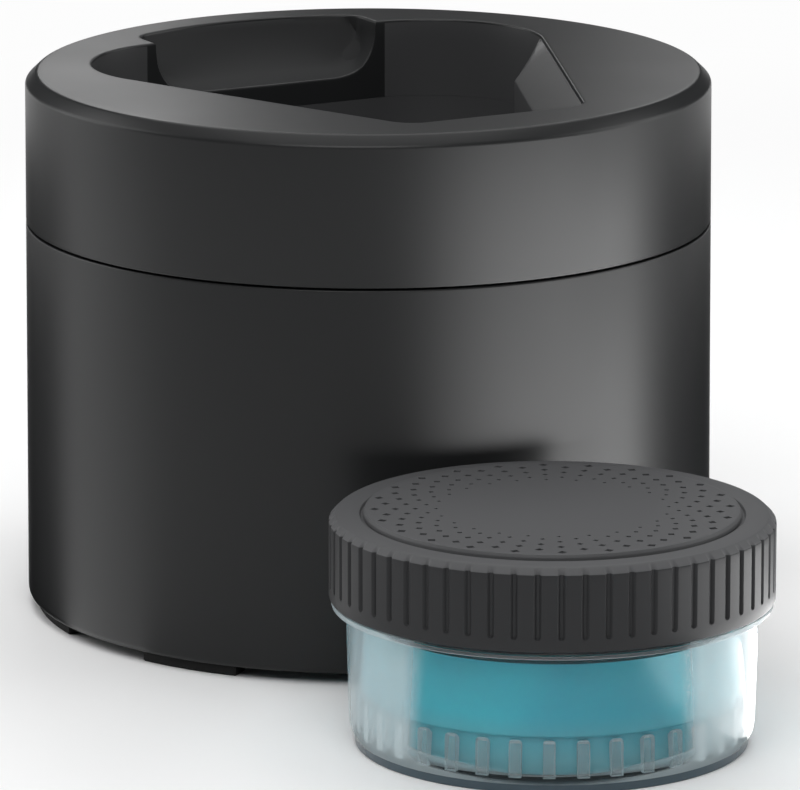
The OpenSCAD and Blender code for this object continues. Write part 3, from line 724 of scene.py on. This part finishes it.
def basin():
    """The well's floor and lower wall, in the well's lighter grey, which is painted light."""
    inner = [lifted(whole(well_half(SKIN)), BASIN_RIM), lifted(whole(well_half()), BASIN_RIM)]
    for a in np.linspace(0, math.pi / 2, 6):
        g = -BASIN_ROUND * (1 - math.cos(a))
        inner.append(lifted(whole(well_half(g)), WELL_FLOOR + BASIN_ROUND * (1 - math.sin(a))))
    floor_middle = np.array([0.0, 5.0])
    last = inner[-1]
    for t in (0.5, 1.0):
        ring = last.copy()
        ring[:, :2] += (floor_middle - ring[:, :2]) * t
        inner.append(ring)
    outside = [lifted(whole(well_half(SKIN)) * 0.0 + floor_middle, CHASSIS_TOP)]
    outside.append(lifted(whole(well_half(SKIN)), CHASSIS_TOP))
    piece = loft("basin", inner + outside, "top", WELL_PAINTED_LIGHT, POD, close_path=True)
    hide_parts("shaver_basin")


# ---------------------------------------------------------------- the pod's base


def pod_base():
    """The base's shell with the tongue that the top sits round, and the window for the button."""
    step_z = BASE_TOP - STEP_DOWN
    tongue = pod_radius(SEAM_Z) - WALL - SLIP
    inside = tongue - TONGUE_W
    profile = [
        (0, FOOT_H, 0), (pod_radius(0), FOOT_H, EDGE_R), (pod_radius(BASE_TOP), BASE_TOP, 0.3),
        (tongue, BASE_TOP, 0), (tongue, TONGUE_TOP, 0.3), (inside, TONGUE_TOP, 0.3),
        (inside, step_z, 0.5), (pod_radius(step_z) - WALL, step_z - STEP_SLOPE, 0.5),
        (pod_radius(0) - WALL, FOOT_H + WALL, 1.2), (0, FOOT_H + WALL, 0),
    ]
    piece = turned("pod_base", profile, "base", CHARCOAL, POD, steps=5)
    window = bpy.data.meshes.new("window")
    half = BUTTON_W / 2 + SLIP
    low, high = BUTTON_Z - SLIP, BUTTON_Z + BUTTON_H + SLIP
    depths = (BUTTON_BACK - 4, POD_R + 15)
    corners = [
        (POD[0] + x, POD[1] + y, z) for x in (-half, half) for y in depths for z in (low, high)
    ]
    faces = [(0, 1, 3, 2), (4, 6, 7, 5), (0, 4, 5, 1), (2, 3, 7, 6), (0, 2, 6, 4), (1, 5, 7, 3)]
    window.from_pydata([tuple(v * MM for v in c) for c in corners], [], faces)
    cutter = bpy.data.objects.new("window", window)
    bpy.context.collection.objects.link(cutter)
    cut = piece.modifiers.new("window", "BOOLEAN")
    cut.object = cutter
    cut.solver = "EXACT"
    apply_modifiers(piece)
    bpy.data.objects.remove(cutter)
    finish_mesh(piece)
    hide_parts("base_shell")


def rounded_box(half_w, half_h, corner, per_side=1):
    """A rounded rectangle's outline in its own plane."""
    bends = []
    for sx, sy, start in ((1, 1, 0), (-1, 1, 90), (-1, -1, 180), (1, -1, 270)):
        middle = np.array([sx * (half_w - corner), sy * (half_h - corner)])
        bends.append(arc(middle, corner, start, start + 90, 6))
    points = []
    for bend, following in zip(bends, bends[1:] + bends[:1]):
        points.extend(bend)
        points.extend(line(bend[-1], following[0], per_side)[:-1])
    return np.array(points)


def release_button():
    """The dished button that sits in the window at the rear of the base."""
    mid_z = BUTTON_Z + BUTTON_H / 2
    dish_y = pod_radius(mid_z) + DISH_R - DISH_IN

    def front(x, z):
        wall_y = math.sqrt((pod_radius(z) - 0.3) ** 2 - x * x)
        hollow = DISH_R ** 2 - x * x - (z - mid_z) ** 2
        return min(wall_y, dish_y - math.sqrt(hollow)) if hollow > 0 else wall_y

    rings = []
    for share in np.linspace(0, 1, 22):
        outline = rounded_box(BUTTON_W / 2 - 0.4, BUTTON_H / 2 - 0.4, 1.0, BUTTON_SIDE) * share
        rings.append(np.array([[x, front(x, mid_z + z), mid_z + z] for x, z in outline]))
    for inset, back in ((0.22, 0.06), (0.08, 0.2), (0.0, 0.45)):
        half_w, half_h = BUTTON_W / 2 - inset, BUTTON_H / 2 - inset
        outline = rounded_box(half_w, half_h, BUTTON_CORNER, BUTTON_SIDE)
        edge = [[x, front(x * 0.96, mid_z + z * 0.92) - back, mid_z + z] for x, z in outline]
        rings.append(np.array(edge))
    rear = rounded_box(BUTTON_W / 2, BUTTON_H / 2, BUTTON_CORNER, BUTTON_SIDE)
    rings.append(np.array([[x, BUTTON_BACK, mid_z + z] for x, z in rear]))
    rings.append(np.array([[0, BUTTON_BACK, mid_z] for _ in rear]))
    piece = loft("button_face", rings, "release", CHARCOAL, POD)
    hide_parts("release_button")

    hook_mid = [0, BUTTON_BACK + HOOK_T / 2]
    hook = [
        lifted(hook_mid + rounded_box(HOOK_W / 2 - inset, HOOK_T / 2 - inset, 0.5), z)
        for inset, z in ((0, BUTTON_Z + BUTTON_H - 0.3), (0, HOOK_TOP - 0.4), (0.3, HOOK_TOP))
    ]
    loft("button_hook", hook, "release", CHARCOAL, POD, caps=(0, 2))

    pin = []
    for inset, ahead in ((0, -0.2), (0, PIN_H - 0.3), (0.3, PIN_H)):
        y = BUTTON_BACK - ahead
        ring = circle_ring(PIN_R - inset, 0, 40)
        pin.append(np.column_stack([ring[:, 0], np.full(40, y), mid_z - ring[:, 1]]))
    loft("button_pin", pin, "release", CHARCOAL, POD, caps=(0, 2))


def feet():
    """Nine rubber feet in a ring under the base, as one wedge set round the axis."""
    outer = POD_R - EDGE_R - 0.1
    middle = outer - FOOT_W / 2
    half = FOOT_SPAN / 2
    turn = -90 + 180 / FEET

    def outline(inset):
        points = []
        for side, start in ((1, 0), (-1, 180)):
            for a in np.linspace(-half, half, 25) * side:
                r = middle + side * (FOOT_W / 2 - inset)
                shrink = (half - inset / middle * 57.3) / half
                points.append(r * unit(turn + a * shrink))
        return np.array(points)

    rings = [
        lifted(outline(0.5), 0.0), lifted(outline(0.2), 0.08), lifted(outline(0.0), 0.4),
        lifted(outline(0.0), FOOT_H),
    ]
    faces = loft_faces(rings, False, (0, 3))
    piece = spun("feet", np.vstack(rings), faces, FEET, "base", RUBBER, POD)
    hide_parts("rubber_feet")


# ---------------------------------------------------------------- the cartridge


def cap():
    """The screw cap: one six-degree wedge with its groove, set round the axis."""
    half = 180 / GROOVES
    slot = GROOVE_W / 2
    foot_z = CAP_Z + GROOVE_FOOT + slot
    shoulder = CAP_TOP - CAP_CHAMFER
    across = [-1.0, -0.6, -0.42, -0.34, -0.24, -0.12, 0.0, 0.12, 0.24, 0.34, 0.42, 0.6, 1.0]
    angles = [math.radians(half * t) for t in across]
    groove_z = [foot_z + slot * t for t in (-1.3, -1.05, -0.9, -0.7, -0.45, -0.2, 0.0)]
    profile = [
        (0.0, CAP_TOP - 0.5), (DISC_R + 0.35, CAP_TOP - 0.5), (DISC_R + 0.5, CAP_TOP - 0.45),
        (DISC_R + 0.6, CAP_TOP - 0.12), (DISC_R + 0.75, CAP_TOP),
        (CAP_R - CAP_CHAMFER - 0.25, CAP_TOP), (CAP_R - CAP_CHAMFER - 0.05, CAP_TOP - 0.06),
        (CAP_R - CAP_CHAMFER + 0.15, CAP_TOP - 0.2), (CAP_R - 0.2, shoulder + 0.2),
        (CAP_R - 0.05, shoulder + 0.02), (CAP_R, shoulder - 0.25),
    ]
    profile += [(CAP_R, z) for z in np.linspace(shoulder - 1.5, foot_z + 0.8, 4)]
    profile += [(CAP_R, z) for z in reversed(groove_z)]
    profile += [
        (CAP_R, CAP_Z + 0.35), (CAP_R - 0.1, CAP_Z + 0.1), (CAP_R - 0.35, CAP_Z),
        (CAP_INNER + 0.2, CAP_Z), (CAP_INNER, CAP_Z + 0.2), (CAP_INNER, NECK_TOP + 1.0),
        (0.0, NECK_TOP + 1.0),
    ]

    def point(row, a):
        r, z = profile[row]
        x = r * a
        away = math.hypot(x, max(0.0, foot_z - z))
        depth = 0.0
        if r > CAP_R - CAP_CHAMFER + 0.1 and z > CAP_Z + 1.0:
            sunk = min(max((slot - away) / 0.16, 0.0), 1.0)
            depth = GROOVE_D * sunk
            if z > shoulder - 0.2:
                depth = max(0.0, min(depth, r - (CAP_R - GROOVE_D)))
        turn = a + math.radians(half)
        return ((r - depth) * math.cos(turn), (r - depth) * math.sin(turn), z)

    verts, faces = wedge_grid(range(len(profile)), angles, point)
    piece = spun("cap", verts, faces, GROOVES, "cap", CAP_GREY_PAINTED_SHADE, STAND, angle=35)
    piece.data.materials.append(DISC_GREY)
    # The top and upper chamfer take the lighter disc grey and the skirt the darker grey: painted shade
    # on the sides
    for face in piece.data.polygons:
        face.material_index = int(face.center.z > (CAP_TOP - CAP_CHAMFER + 0.1) * MM)
    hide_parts("cartridge_cap")


def disc():
    """The cap's raised disc with rings of small diamond recesses, set round the axis by wedges."""
    turn = math.radians(360 / DISC_WEDGES)
    verts, faces = [], []

    def put(r, a, z):
        verts.append((r * math.cos(a), r * math.sin(a), z))
        return len(verts) - 1

    def row_angles(r, half):
        """Angles of one row: the wedge's sides and middle, and three round each diamond's place."""
        first, second = ([m * turn + s * half / r for s in (-1, 0, 1)] for m in (0.25, 0.75))
        return [0.0] + first + [turn / 2] + second + [turn]

    rows = []
    for k, (r, side) in enumerate(DIAMONDS):
        half = side / math.sqrt(2)
        for step in (1, 0, -1):
            radius = r + step * half
            rows.append((k, step, [put(radius, a, DISC_TOP) for a in row_angles(r, half)]))

    def middle_of(k):
        """Place of ring k's diamond in its rows: the rings take the two places by turns."""
        return 2 if k % 2 == 0 else 6

    for (k, step, upper), (_, _, lower) in zip(rows, rows[1:]):
        middle = middle_of(k)
        for i in range(len(upper) - 1):
            left, right = i == middle - 1, i == middle
            if step < 0 or not (left or right):
                faces.append((upper[i], upper[i + 1], lower[i + 1], lower[i]))
            elif left:
                tip = upper[middle] if step == 1 else lower[middle]
                faces.append((upper[i], tip, lower[i]))
            elif step == 1:
                faces.append((upper[middle], upper[i + 1], lower[i + 1]))
            else:
                faces.append((upper[i + 1], lower[i + 1], lower[middle]))
    for k in range(len(DIAMONDS)):
        middle = middle_of(k)
        top, mid, low = (rows[3 * k + row][2] for row in range(3))
        rim = [top[middle], mid[middle + 1], low[middle], mid[middle - 1]]
        base = []
        for v in rim:
            x, y, z = verts[v]
            verts.append((x, y, z - DIAMOND_SINK))
            base.append(len(verts) - 1)
        for i in range(4):
            j = (i + 1) % 4
            faces.append((rim[i], rim[j], base[j], base[i]))
        faces.append(tuple(base))

    angles = row_angles(30.0, 0.8)
    edge = [(DISC_R - 0.55, DISC_TOP), (DISC_R - 0.35, DISC_TOP - 0.06),
            (DISC_R - 0.05, DISC_TOP - 0.5), (DISC_R, DISC_TOP - 0.65), (DISC_R, CAP_TOP - 0.45)]
    upper = rows[0][2]
    for r, z in edge:
        lower = [put(r, a, z) for a in angles]
        faces.extend((lower[i], lower[i + 1], upper[i + 1], upper[i]) for i in range(len(lower) - 1))
        upper = lower
    under = [put(0.0, 0.0, CAP_TOP - 0.45)] * len(upper)
    faces.extend((upper[i], upper[i + 1], under[i]) for i in range(len(upper) - 1))
    inner = rows[-1][2]
    hub = put(0.0, 0.0, DISC_TOP)
    faces.extend((inner[i], inner[i + 1], hub) for i in range(len(inner) - 1))
    piece = spun("disc", verts, faces, DISC_WEDGES, "cap", DISC_GREY, STAND, angle=25)
    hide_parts("cap_disc")


def tub():
    """The clear tub with its flange, neck and base rim."""
    rim_r = tub_radius(0) - 0.9
    profile = [
        (0, TUB_RIM, 0), (rim_r - 1.2, TUB_RIM, 0.2), (rim_r - 1.2, 0, 0.2), (rim_r, 0, 0.4),
        (rim_r, TUB_RIM, 0.15), (tub_radius(TUB_ROUND) - 0.9, TUB_RIM + 0.2, 0.3),
        (tub_radius(TUB_ROUND) - 0.2, 3.0, 0.6), (tub_radius(TUB_ROUND), TUB_ROUND, 0.6),
        (TUB_R, FLANGE_Z, 0.3), (FLANGE_R, FLANGE_Z, 0.3), (FLANGE_R, FLANGE_Z + FLANGE_T, 0.3),
        (NECK_R, FLANGE_Z + FLANGE_T, 0.2), (NECK_R, NECK_TOP, 0.3),
        (NECK_R - TUB_WALL, NECK_TOP, 0.3), (NECK_R - TUB_WALL, FLANGE_Z, 0.5),
        (tub_radius(TUB_ROUND) - TUB_WALL, TUB_ROUND + 0.4, 0.6),
        (tub_radius(TUB_ROUND) - TUB_WALL - 1.2, TUB_FLOOR, 0.5), (0, TUB_FLOOR, 0),
    ]
    piece = turned("tub", profile, "cartridge", TUB, STAND, steps=3)
    piece.data.materials.append(RIM_PAINTED_SHADE)
    # The base rim's faces take the opaque dark slate, a painted shade
    for face in piece.data.polygons:
        face.material_index = int(face.center.z < (TUB_RIM + 0.1) * MM)
    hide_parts("cartridge_tub")


def tub_ribs():
    """Upright ribs inside the foot of the tub, set round the axis."""
    outer = tub_radius(0) - TUB_WALL - 0.05
    inner = outer - 1.7
    top = TUB_FLOOR + RIB_H
    half = RIB_W / 2
    rings = []
    for z, inset, lean in (
        (TUB_FLOOR + 0.05, 0.0, 0.5), (top - 0.9, 0.0, 0.0), (top - 0.25, 0.08, 0.5), (top, 0.3, 0.9)
    ):
        near = inner + lean
        corners = [
            (outer, -half + inset), (outer, half - inset), (near + 0.25, half - inset),
            (near, half - inset - 0.25), (near, -half + inset + 0.25), (near + 0.25, -half + inset),
        ]
        rings.append(np.array([[x, y, z] for x, y in corners]))
    faces = loft_faces(rings, False, (0, 3))
    spun("tub_ribs", np.vstack(rings), faces, RIBS, "cartridge", RIB, STAND, angle=25)


def fluid():
    """The washing fluid, with its skin curling up a little at the wall."""
    low = tub_radius(0) - TUB_WALL - 2.1
    high = tub_radius(14) - TUB_WALL - 0.35
    top = NECK_R - TUB_WALL - 0.1
    profile = [
        (0, TUB_FLOOR + 0.1, 0), (low, TUB_FLOOR + 0.1, 0.4), (low, TUB_FLOOR + RIB_H + 0.2, 0.3),
        (high - 0.9, TUB_FLOOR + RIB_H + 0.6, 0.3), (top, FLUID_TOP, 0),
        (top - 0.8, FLUID_TOP - 0.5, 0.4), (0, FLUID_TOP - 0.5, 0),
    ]
    piece = turned("fluid", profile, "cartridge", FLUID, STAND, count=160, steps=3)
    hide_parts("cleaning_fluid")


# ---------------------------------------------------------------- inner parts


# Inner parts that keep the CAD shape, with the width of their rounded edges in millimetres
SOFT_EDGES = (
    ("cartridge_bay", "base", 0.35), ("button_guide", "base", 0.25), ("chassis", "top", 0.3),
    ("motor_housing", "top", 0.5), ("pump_housing", "top", 0.4), ("battery_trays", "top", 0.25),
    ("battery_doors", "top", 0.25),
)


def softened(node, body, width):
    """A CAD node's own shape with its hard edges rounded."""
    source = frame["nodes"][node]
    mesh = source.data.copy()
    piece = bpy.data.objects.new(node + "_look", mesh)
    bpy.context.collection.objects.link(piece)
    bm = bmesh.new()
    bm.from_mesh(mesh)
    bmesh.ops.remove_doubles(bm, verts=bm.verts, dist=2e-6)
    bmesh.ops.dissolve_limit(bm, angle_limit=math.radians(1), verts=bm.verts, edges=bm.edges)
    bm.to_mesh(mesh)
    bm.free()
    rounding = piece.modifiers.new("rounding", "BEVEL")
    rounding.width = width * MM
    rounding.segments = 2
    rounding.limit_method = "ANGLE"
    rounding.angle_limit = math.radians(40)
    rounding.use_clamp_overlap = True
    apply_modifiers(piece)
    finish_mesh(piece)
    placed(piece, body, INNER)
    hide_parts(node)


def carried_over():
    """Every CAD node that keeps its own mesh gets the look of its slot."""
    for row in frame["record"]["subparts"]:
        node = frame["nodes"][row["node"]]
        node.data.materials.clear()
        node.data.materials.append(SLOT_LOOK[row["material_slot"]])


# ---------------------------------------------------------------- studio

# The photograph's camera: its bearing from the pod's front, and its place about the pod's axis
CAMERA_TURN = -28.0
CAMERA_REACH = 1435.8
CAMERA_Z = 380.6
CAMERA_LENS = 347.0
AIM_RIGHT = 6.0
AIM_Z = 39.6
# Length of the cards that the wall's gloss shows
CARD_REACH = 480.0
CARD_COLUMNS = 19


def in_front(bearing, reach, z):
    """A place round the pod, its bearing counted from the camera's own, in metres."""
    a = math.radians(CAMERA_TURN + bearing)
    place = np.array([POD[0] + math.sin(a) * reach, POD[1] - math.cos(a) * reach, z])
    return Vector(place * MM)


def photo_camera():
    """The camera of the photograph, as fitted to the pod's circles, drawn back to show both parts."""
    cam = bpy.data.cameras.new("photo_camera")
    cam.lens = CAMERA_LENS
    cam.sensor_width = 36.0
    cam.clip_end = 20.0
    item = bpy.data.objects.new("photo_camera", cam)
    bpy.context.collection.objects.link(item)
    item.location = in_front(0, CAMERA_REACH, CAMERA_Z)
    aim = in_front(90, AIM_RIGHT, AIM_Z)
    item.rotation_euler = (aim - item.location).to_track_quat("-Z", "Y").to_euler()
    bpy.context.scene.camera = item


def studio_floor():
    """A wide matt floor that holds the object's shadow and turns into the white backdrop."""
    size = 6.0
    mesh = bpy.data.meshes.new("studio_floor")
    corners = [(-size, -size, 0), (size, -size, 0), (size, size, 0), (-size, size, 0)]
    mesh.from_pydata(corners, [], [(0, 1, 2, 3)])
    floor = bpy.data.objects.new("studio_floor", mesh)
    bpy.context.collection.objects.link(floor)
    mat, bsdf = shader("studio_white", (0.9, 0.9, 0.9), 0.9, 0.1)
    nodes, links = mat.node_tree.nodes, mat.node_tree.links
    place = nodes.new("ShaderNodeTexCoord")
    reach = nodes.new("ShaderNodeVectorMath")
    reach.operation = "LENGTH"
    links.new(place.outputs["Object"], reach.inputs[0])
    far = nodes.new("ShaderNodeMapRange")
    far.interpolation_type = "SMOOTHSTEP"
    far.inputs["From Min"].default_value = 0.22
    far.inputs["From Max"].default_value = 0.60
    links.new(reach.outputs["Value"], far.inputs["Value"])
    rays = nodes.new("ShaderNodeLightPath")
    seen = rays.outputs["Is Camera Ray"]
    for kind in ("Is Glossy Ray", "Is Transmission Ray"):
        either = nodes.new("ShaderNodeMath")
        either.operation = "MAXIMUM"
        links.new(seen, either.inputs[0])
        links.new(rays.outputs[kind], either.inputs[1])
        seen = either.outputs[0]
    share = nodes.new("ShaderNodeMath")
    share.operation = "MULTIPLY"
    links.new(far.outputs["Result"], share.inputs[0])
    links.new(seen, share.inputs[1])
    white = nodes.new("ShaderNodeEmission")
    white.inputs["Strength"].default_value = 0.98
    blend = nodes.new("ShaderNodeMixShader")
    links.new(share.outputs[0], blend.inputs["Fac"])
    links.new(bsdf.outputs[0], blend.inputs[1])
    links.new(white.outputs[0], blend.inputs[2])
    links.new(blend.outputs[0], nodes["Material Output"].inputs["Surface"])
    floor.data.materials.append(mat)


def softbox(name, bearing, reach, z, width, tall, glow, aim_z):
    """A soft rectangular lamp that faces the pod's axis and is hidden from the camera.

    Its glow is its radiance, white being 1.
    """
    place = in_front(bearing, reach, z)
    lamp = bpy.data.lights.new(name, "AREA")
    lamp.shape = "RECTANGLE"
    lamp.size = width * MM
    lamp.size_y = tall * MM
    lamp.energy = glow * math.pi * width * tall * MM * MM
    item = bpy.data.objects.new(name, lamp)
    bpy.context.collection.objects.link(item)
    item.location = place
    item.rotation_euler = (in_front(0, 0, aim_z) - place).to_track_quat("-Z", "Y").to_euler()
    item.visible_camera = False


def gloss_card(name, profile, rows=((0.5, 0.3), (CARD_REACH, 0.3))):
    """A flat card that only the gloss of the pod's wall shows, seen from above.

    The upright wall mirrors what lies below and beside it. The card covers what it shows
    from the first to the last bearing of its profile, each given with its glow, and a glow of 0
    keeps that stretch dark. Its rows are distances from the wall, each with a height.
    """
    axis = in_front(0, 0, 0)
    given, glows = zip(*profile)
    bearings = np.linspace(given[0], given[-1], CARD_COLUMNS)
    verts = [
        in_front(face, POD_R, z) + in_front(2 * face, reach, 0) - axis
        for reach, z in rows for face in bearings
    ]
    faces = [
        (a + k, a + k + 1, a + k + 1 + CARD_COLUMNS, a + k + CARD_COLUMNS)
        for a in range(0, CARD_COLUMNS * (len(rows) - 1), CARD_COLUMNS)
        for k in range(CARD_COLUMNS - 1)
    ]
    mesh = bpy.data.meshes.new(name)
    mesh.from_pydata(verts, [], faces)
    strength = mesh.attributes.new("glow", "FLOAT", "POINT")
    order = np.argsort(given)
    at = np.interp(bearings, np.array(given, float)[order], np.array(glows, float)[order])
    strength.data.foreach_set("value", np.tile(at, len(rows)))
    if mesh.polygons[0].normal.z < 0:
        mesh.flip_normals()
    card = bpy.data.objects.new(name, mesh)
    bpy.context.collection.objects.link(card)
    mat = bpy.data.materials.new(name)
    mat.use_nodes = True
    nodes, links = mat.node_tree.nodes, mat.node_tree.links
    nodes.clear()
    light = nodes.new("ShaderNodeEmission")
    level = nodes.new("ShaderNodeAttribute")
    level.attribute_name = "glow"
    links.new(level.outputs["Fac"], light.inputs["Strength"])
    one_sided = nodes.new("ShaderNodeMixShader")
    links.new(nodes.new("ShaderNodeNewGeometry").outputs["Backfacing"], one_sided.inputs["Fac"])
    links.new(light.outputs[0], one_sided.inputs[1])
    links.new(nodes.new("ShaderNodeBsdfTransparent").outputs[0], one_sided.inputs[2])
    links.new(one_sided.outputs[0], nodes.new("ShaderNodeOutputMaterial").inputs["Surface"])
    mesh.materials.append(mat)
    for ray in ("camera", "diffuse", "transmission", "volume_scatter", "shadow"):
        setattr(card, "visible_" + ray, False)


# Name, bearing, reach, height, width, length, glow and the height that it faces
SOFTBOXES = (
    ("left_softbox", -106, 900, 420, 650, 800, 2.5, 50),
    ("right_softbox", 98, 900, 420, 650, 800, 2.5, 50),
    ("overhead", 180, 300, 1200, 1100, 1100, 2.4, 50),
    ("front_softbox", -8, 900, 1000, 900, 800, 4.0, 50),
    ("back_left_card", -170.5, 433, 335, 66, 300, 2.5, 200),
    ("back_right_card", 167.5, 437, 335, 76, 300, 1.4, 200),
)
# Bearings of each card's own stretch of the wall, with the card's glow there
FLOOR_CARDS = (
    ("left_card", ((-40, 1.6), (-60, 1.6))), ("left_dark", ((-62, 0), (-84, 0))),
    ("right_card", ((23, 8.5), (51, 8.5))), ("right_dark", ((57, 0), (84, 0))),
)
FADING = ((-5, 0.9), (6, 0.9), (10, 2.6), (13, 4.4), (19, 6.9), (24, 8.1), (36, 8.5))


def studio():
    """Dim air, the floor, the softboxes and the cards."""
    world = bpy.data.worlds.new("studio_air")
    bpy.context.scene.world = world
    world.use_nodes = True
    air = world.node_tree.nodes["Background"]
    air.inputs["Color"].default_value = (0.95, 0.97, 1.0, 1)
    air.inputs["Strength"].default_value = 0.05
    studio_floor()
    for lamp in SOFTBOXES:
        softbox(*lamp)
    for name, profile in FLOOR_CARDS:
        gloss_card(name, profile)
    # Level just over the cap's disc, so that the wall mirrors the card and not the cap
    over = DISC_TOP + 0.1
    gloss_card("raised_card", FADING, ((8, over), (CARD_REACH, over)))


pod_top()
top_bosses()
basin()
pod_base()
release_button()
feet()
cap()
disc()
tub()
tub_ribs()
fluid()
carried_over()
for inner_node, inner_body, edge_width in SOFT_EDGES:
    softened(inner_node, inner_body, edge_width)
studio()
photo_camera()
bpy.context.scene.view_settings.view_transform = "Standard"
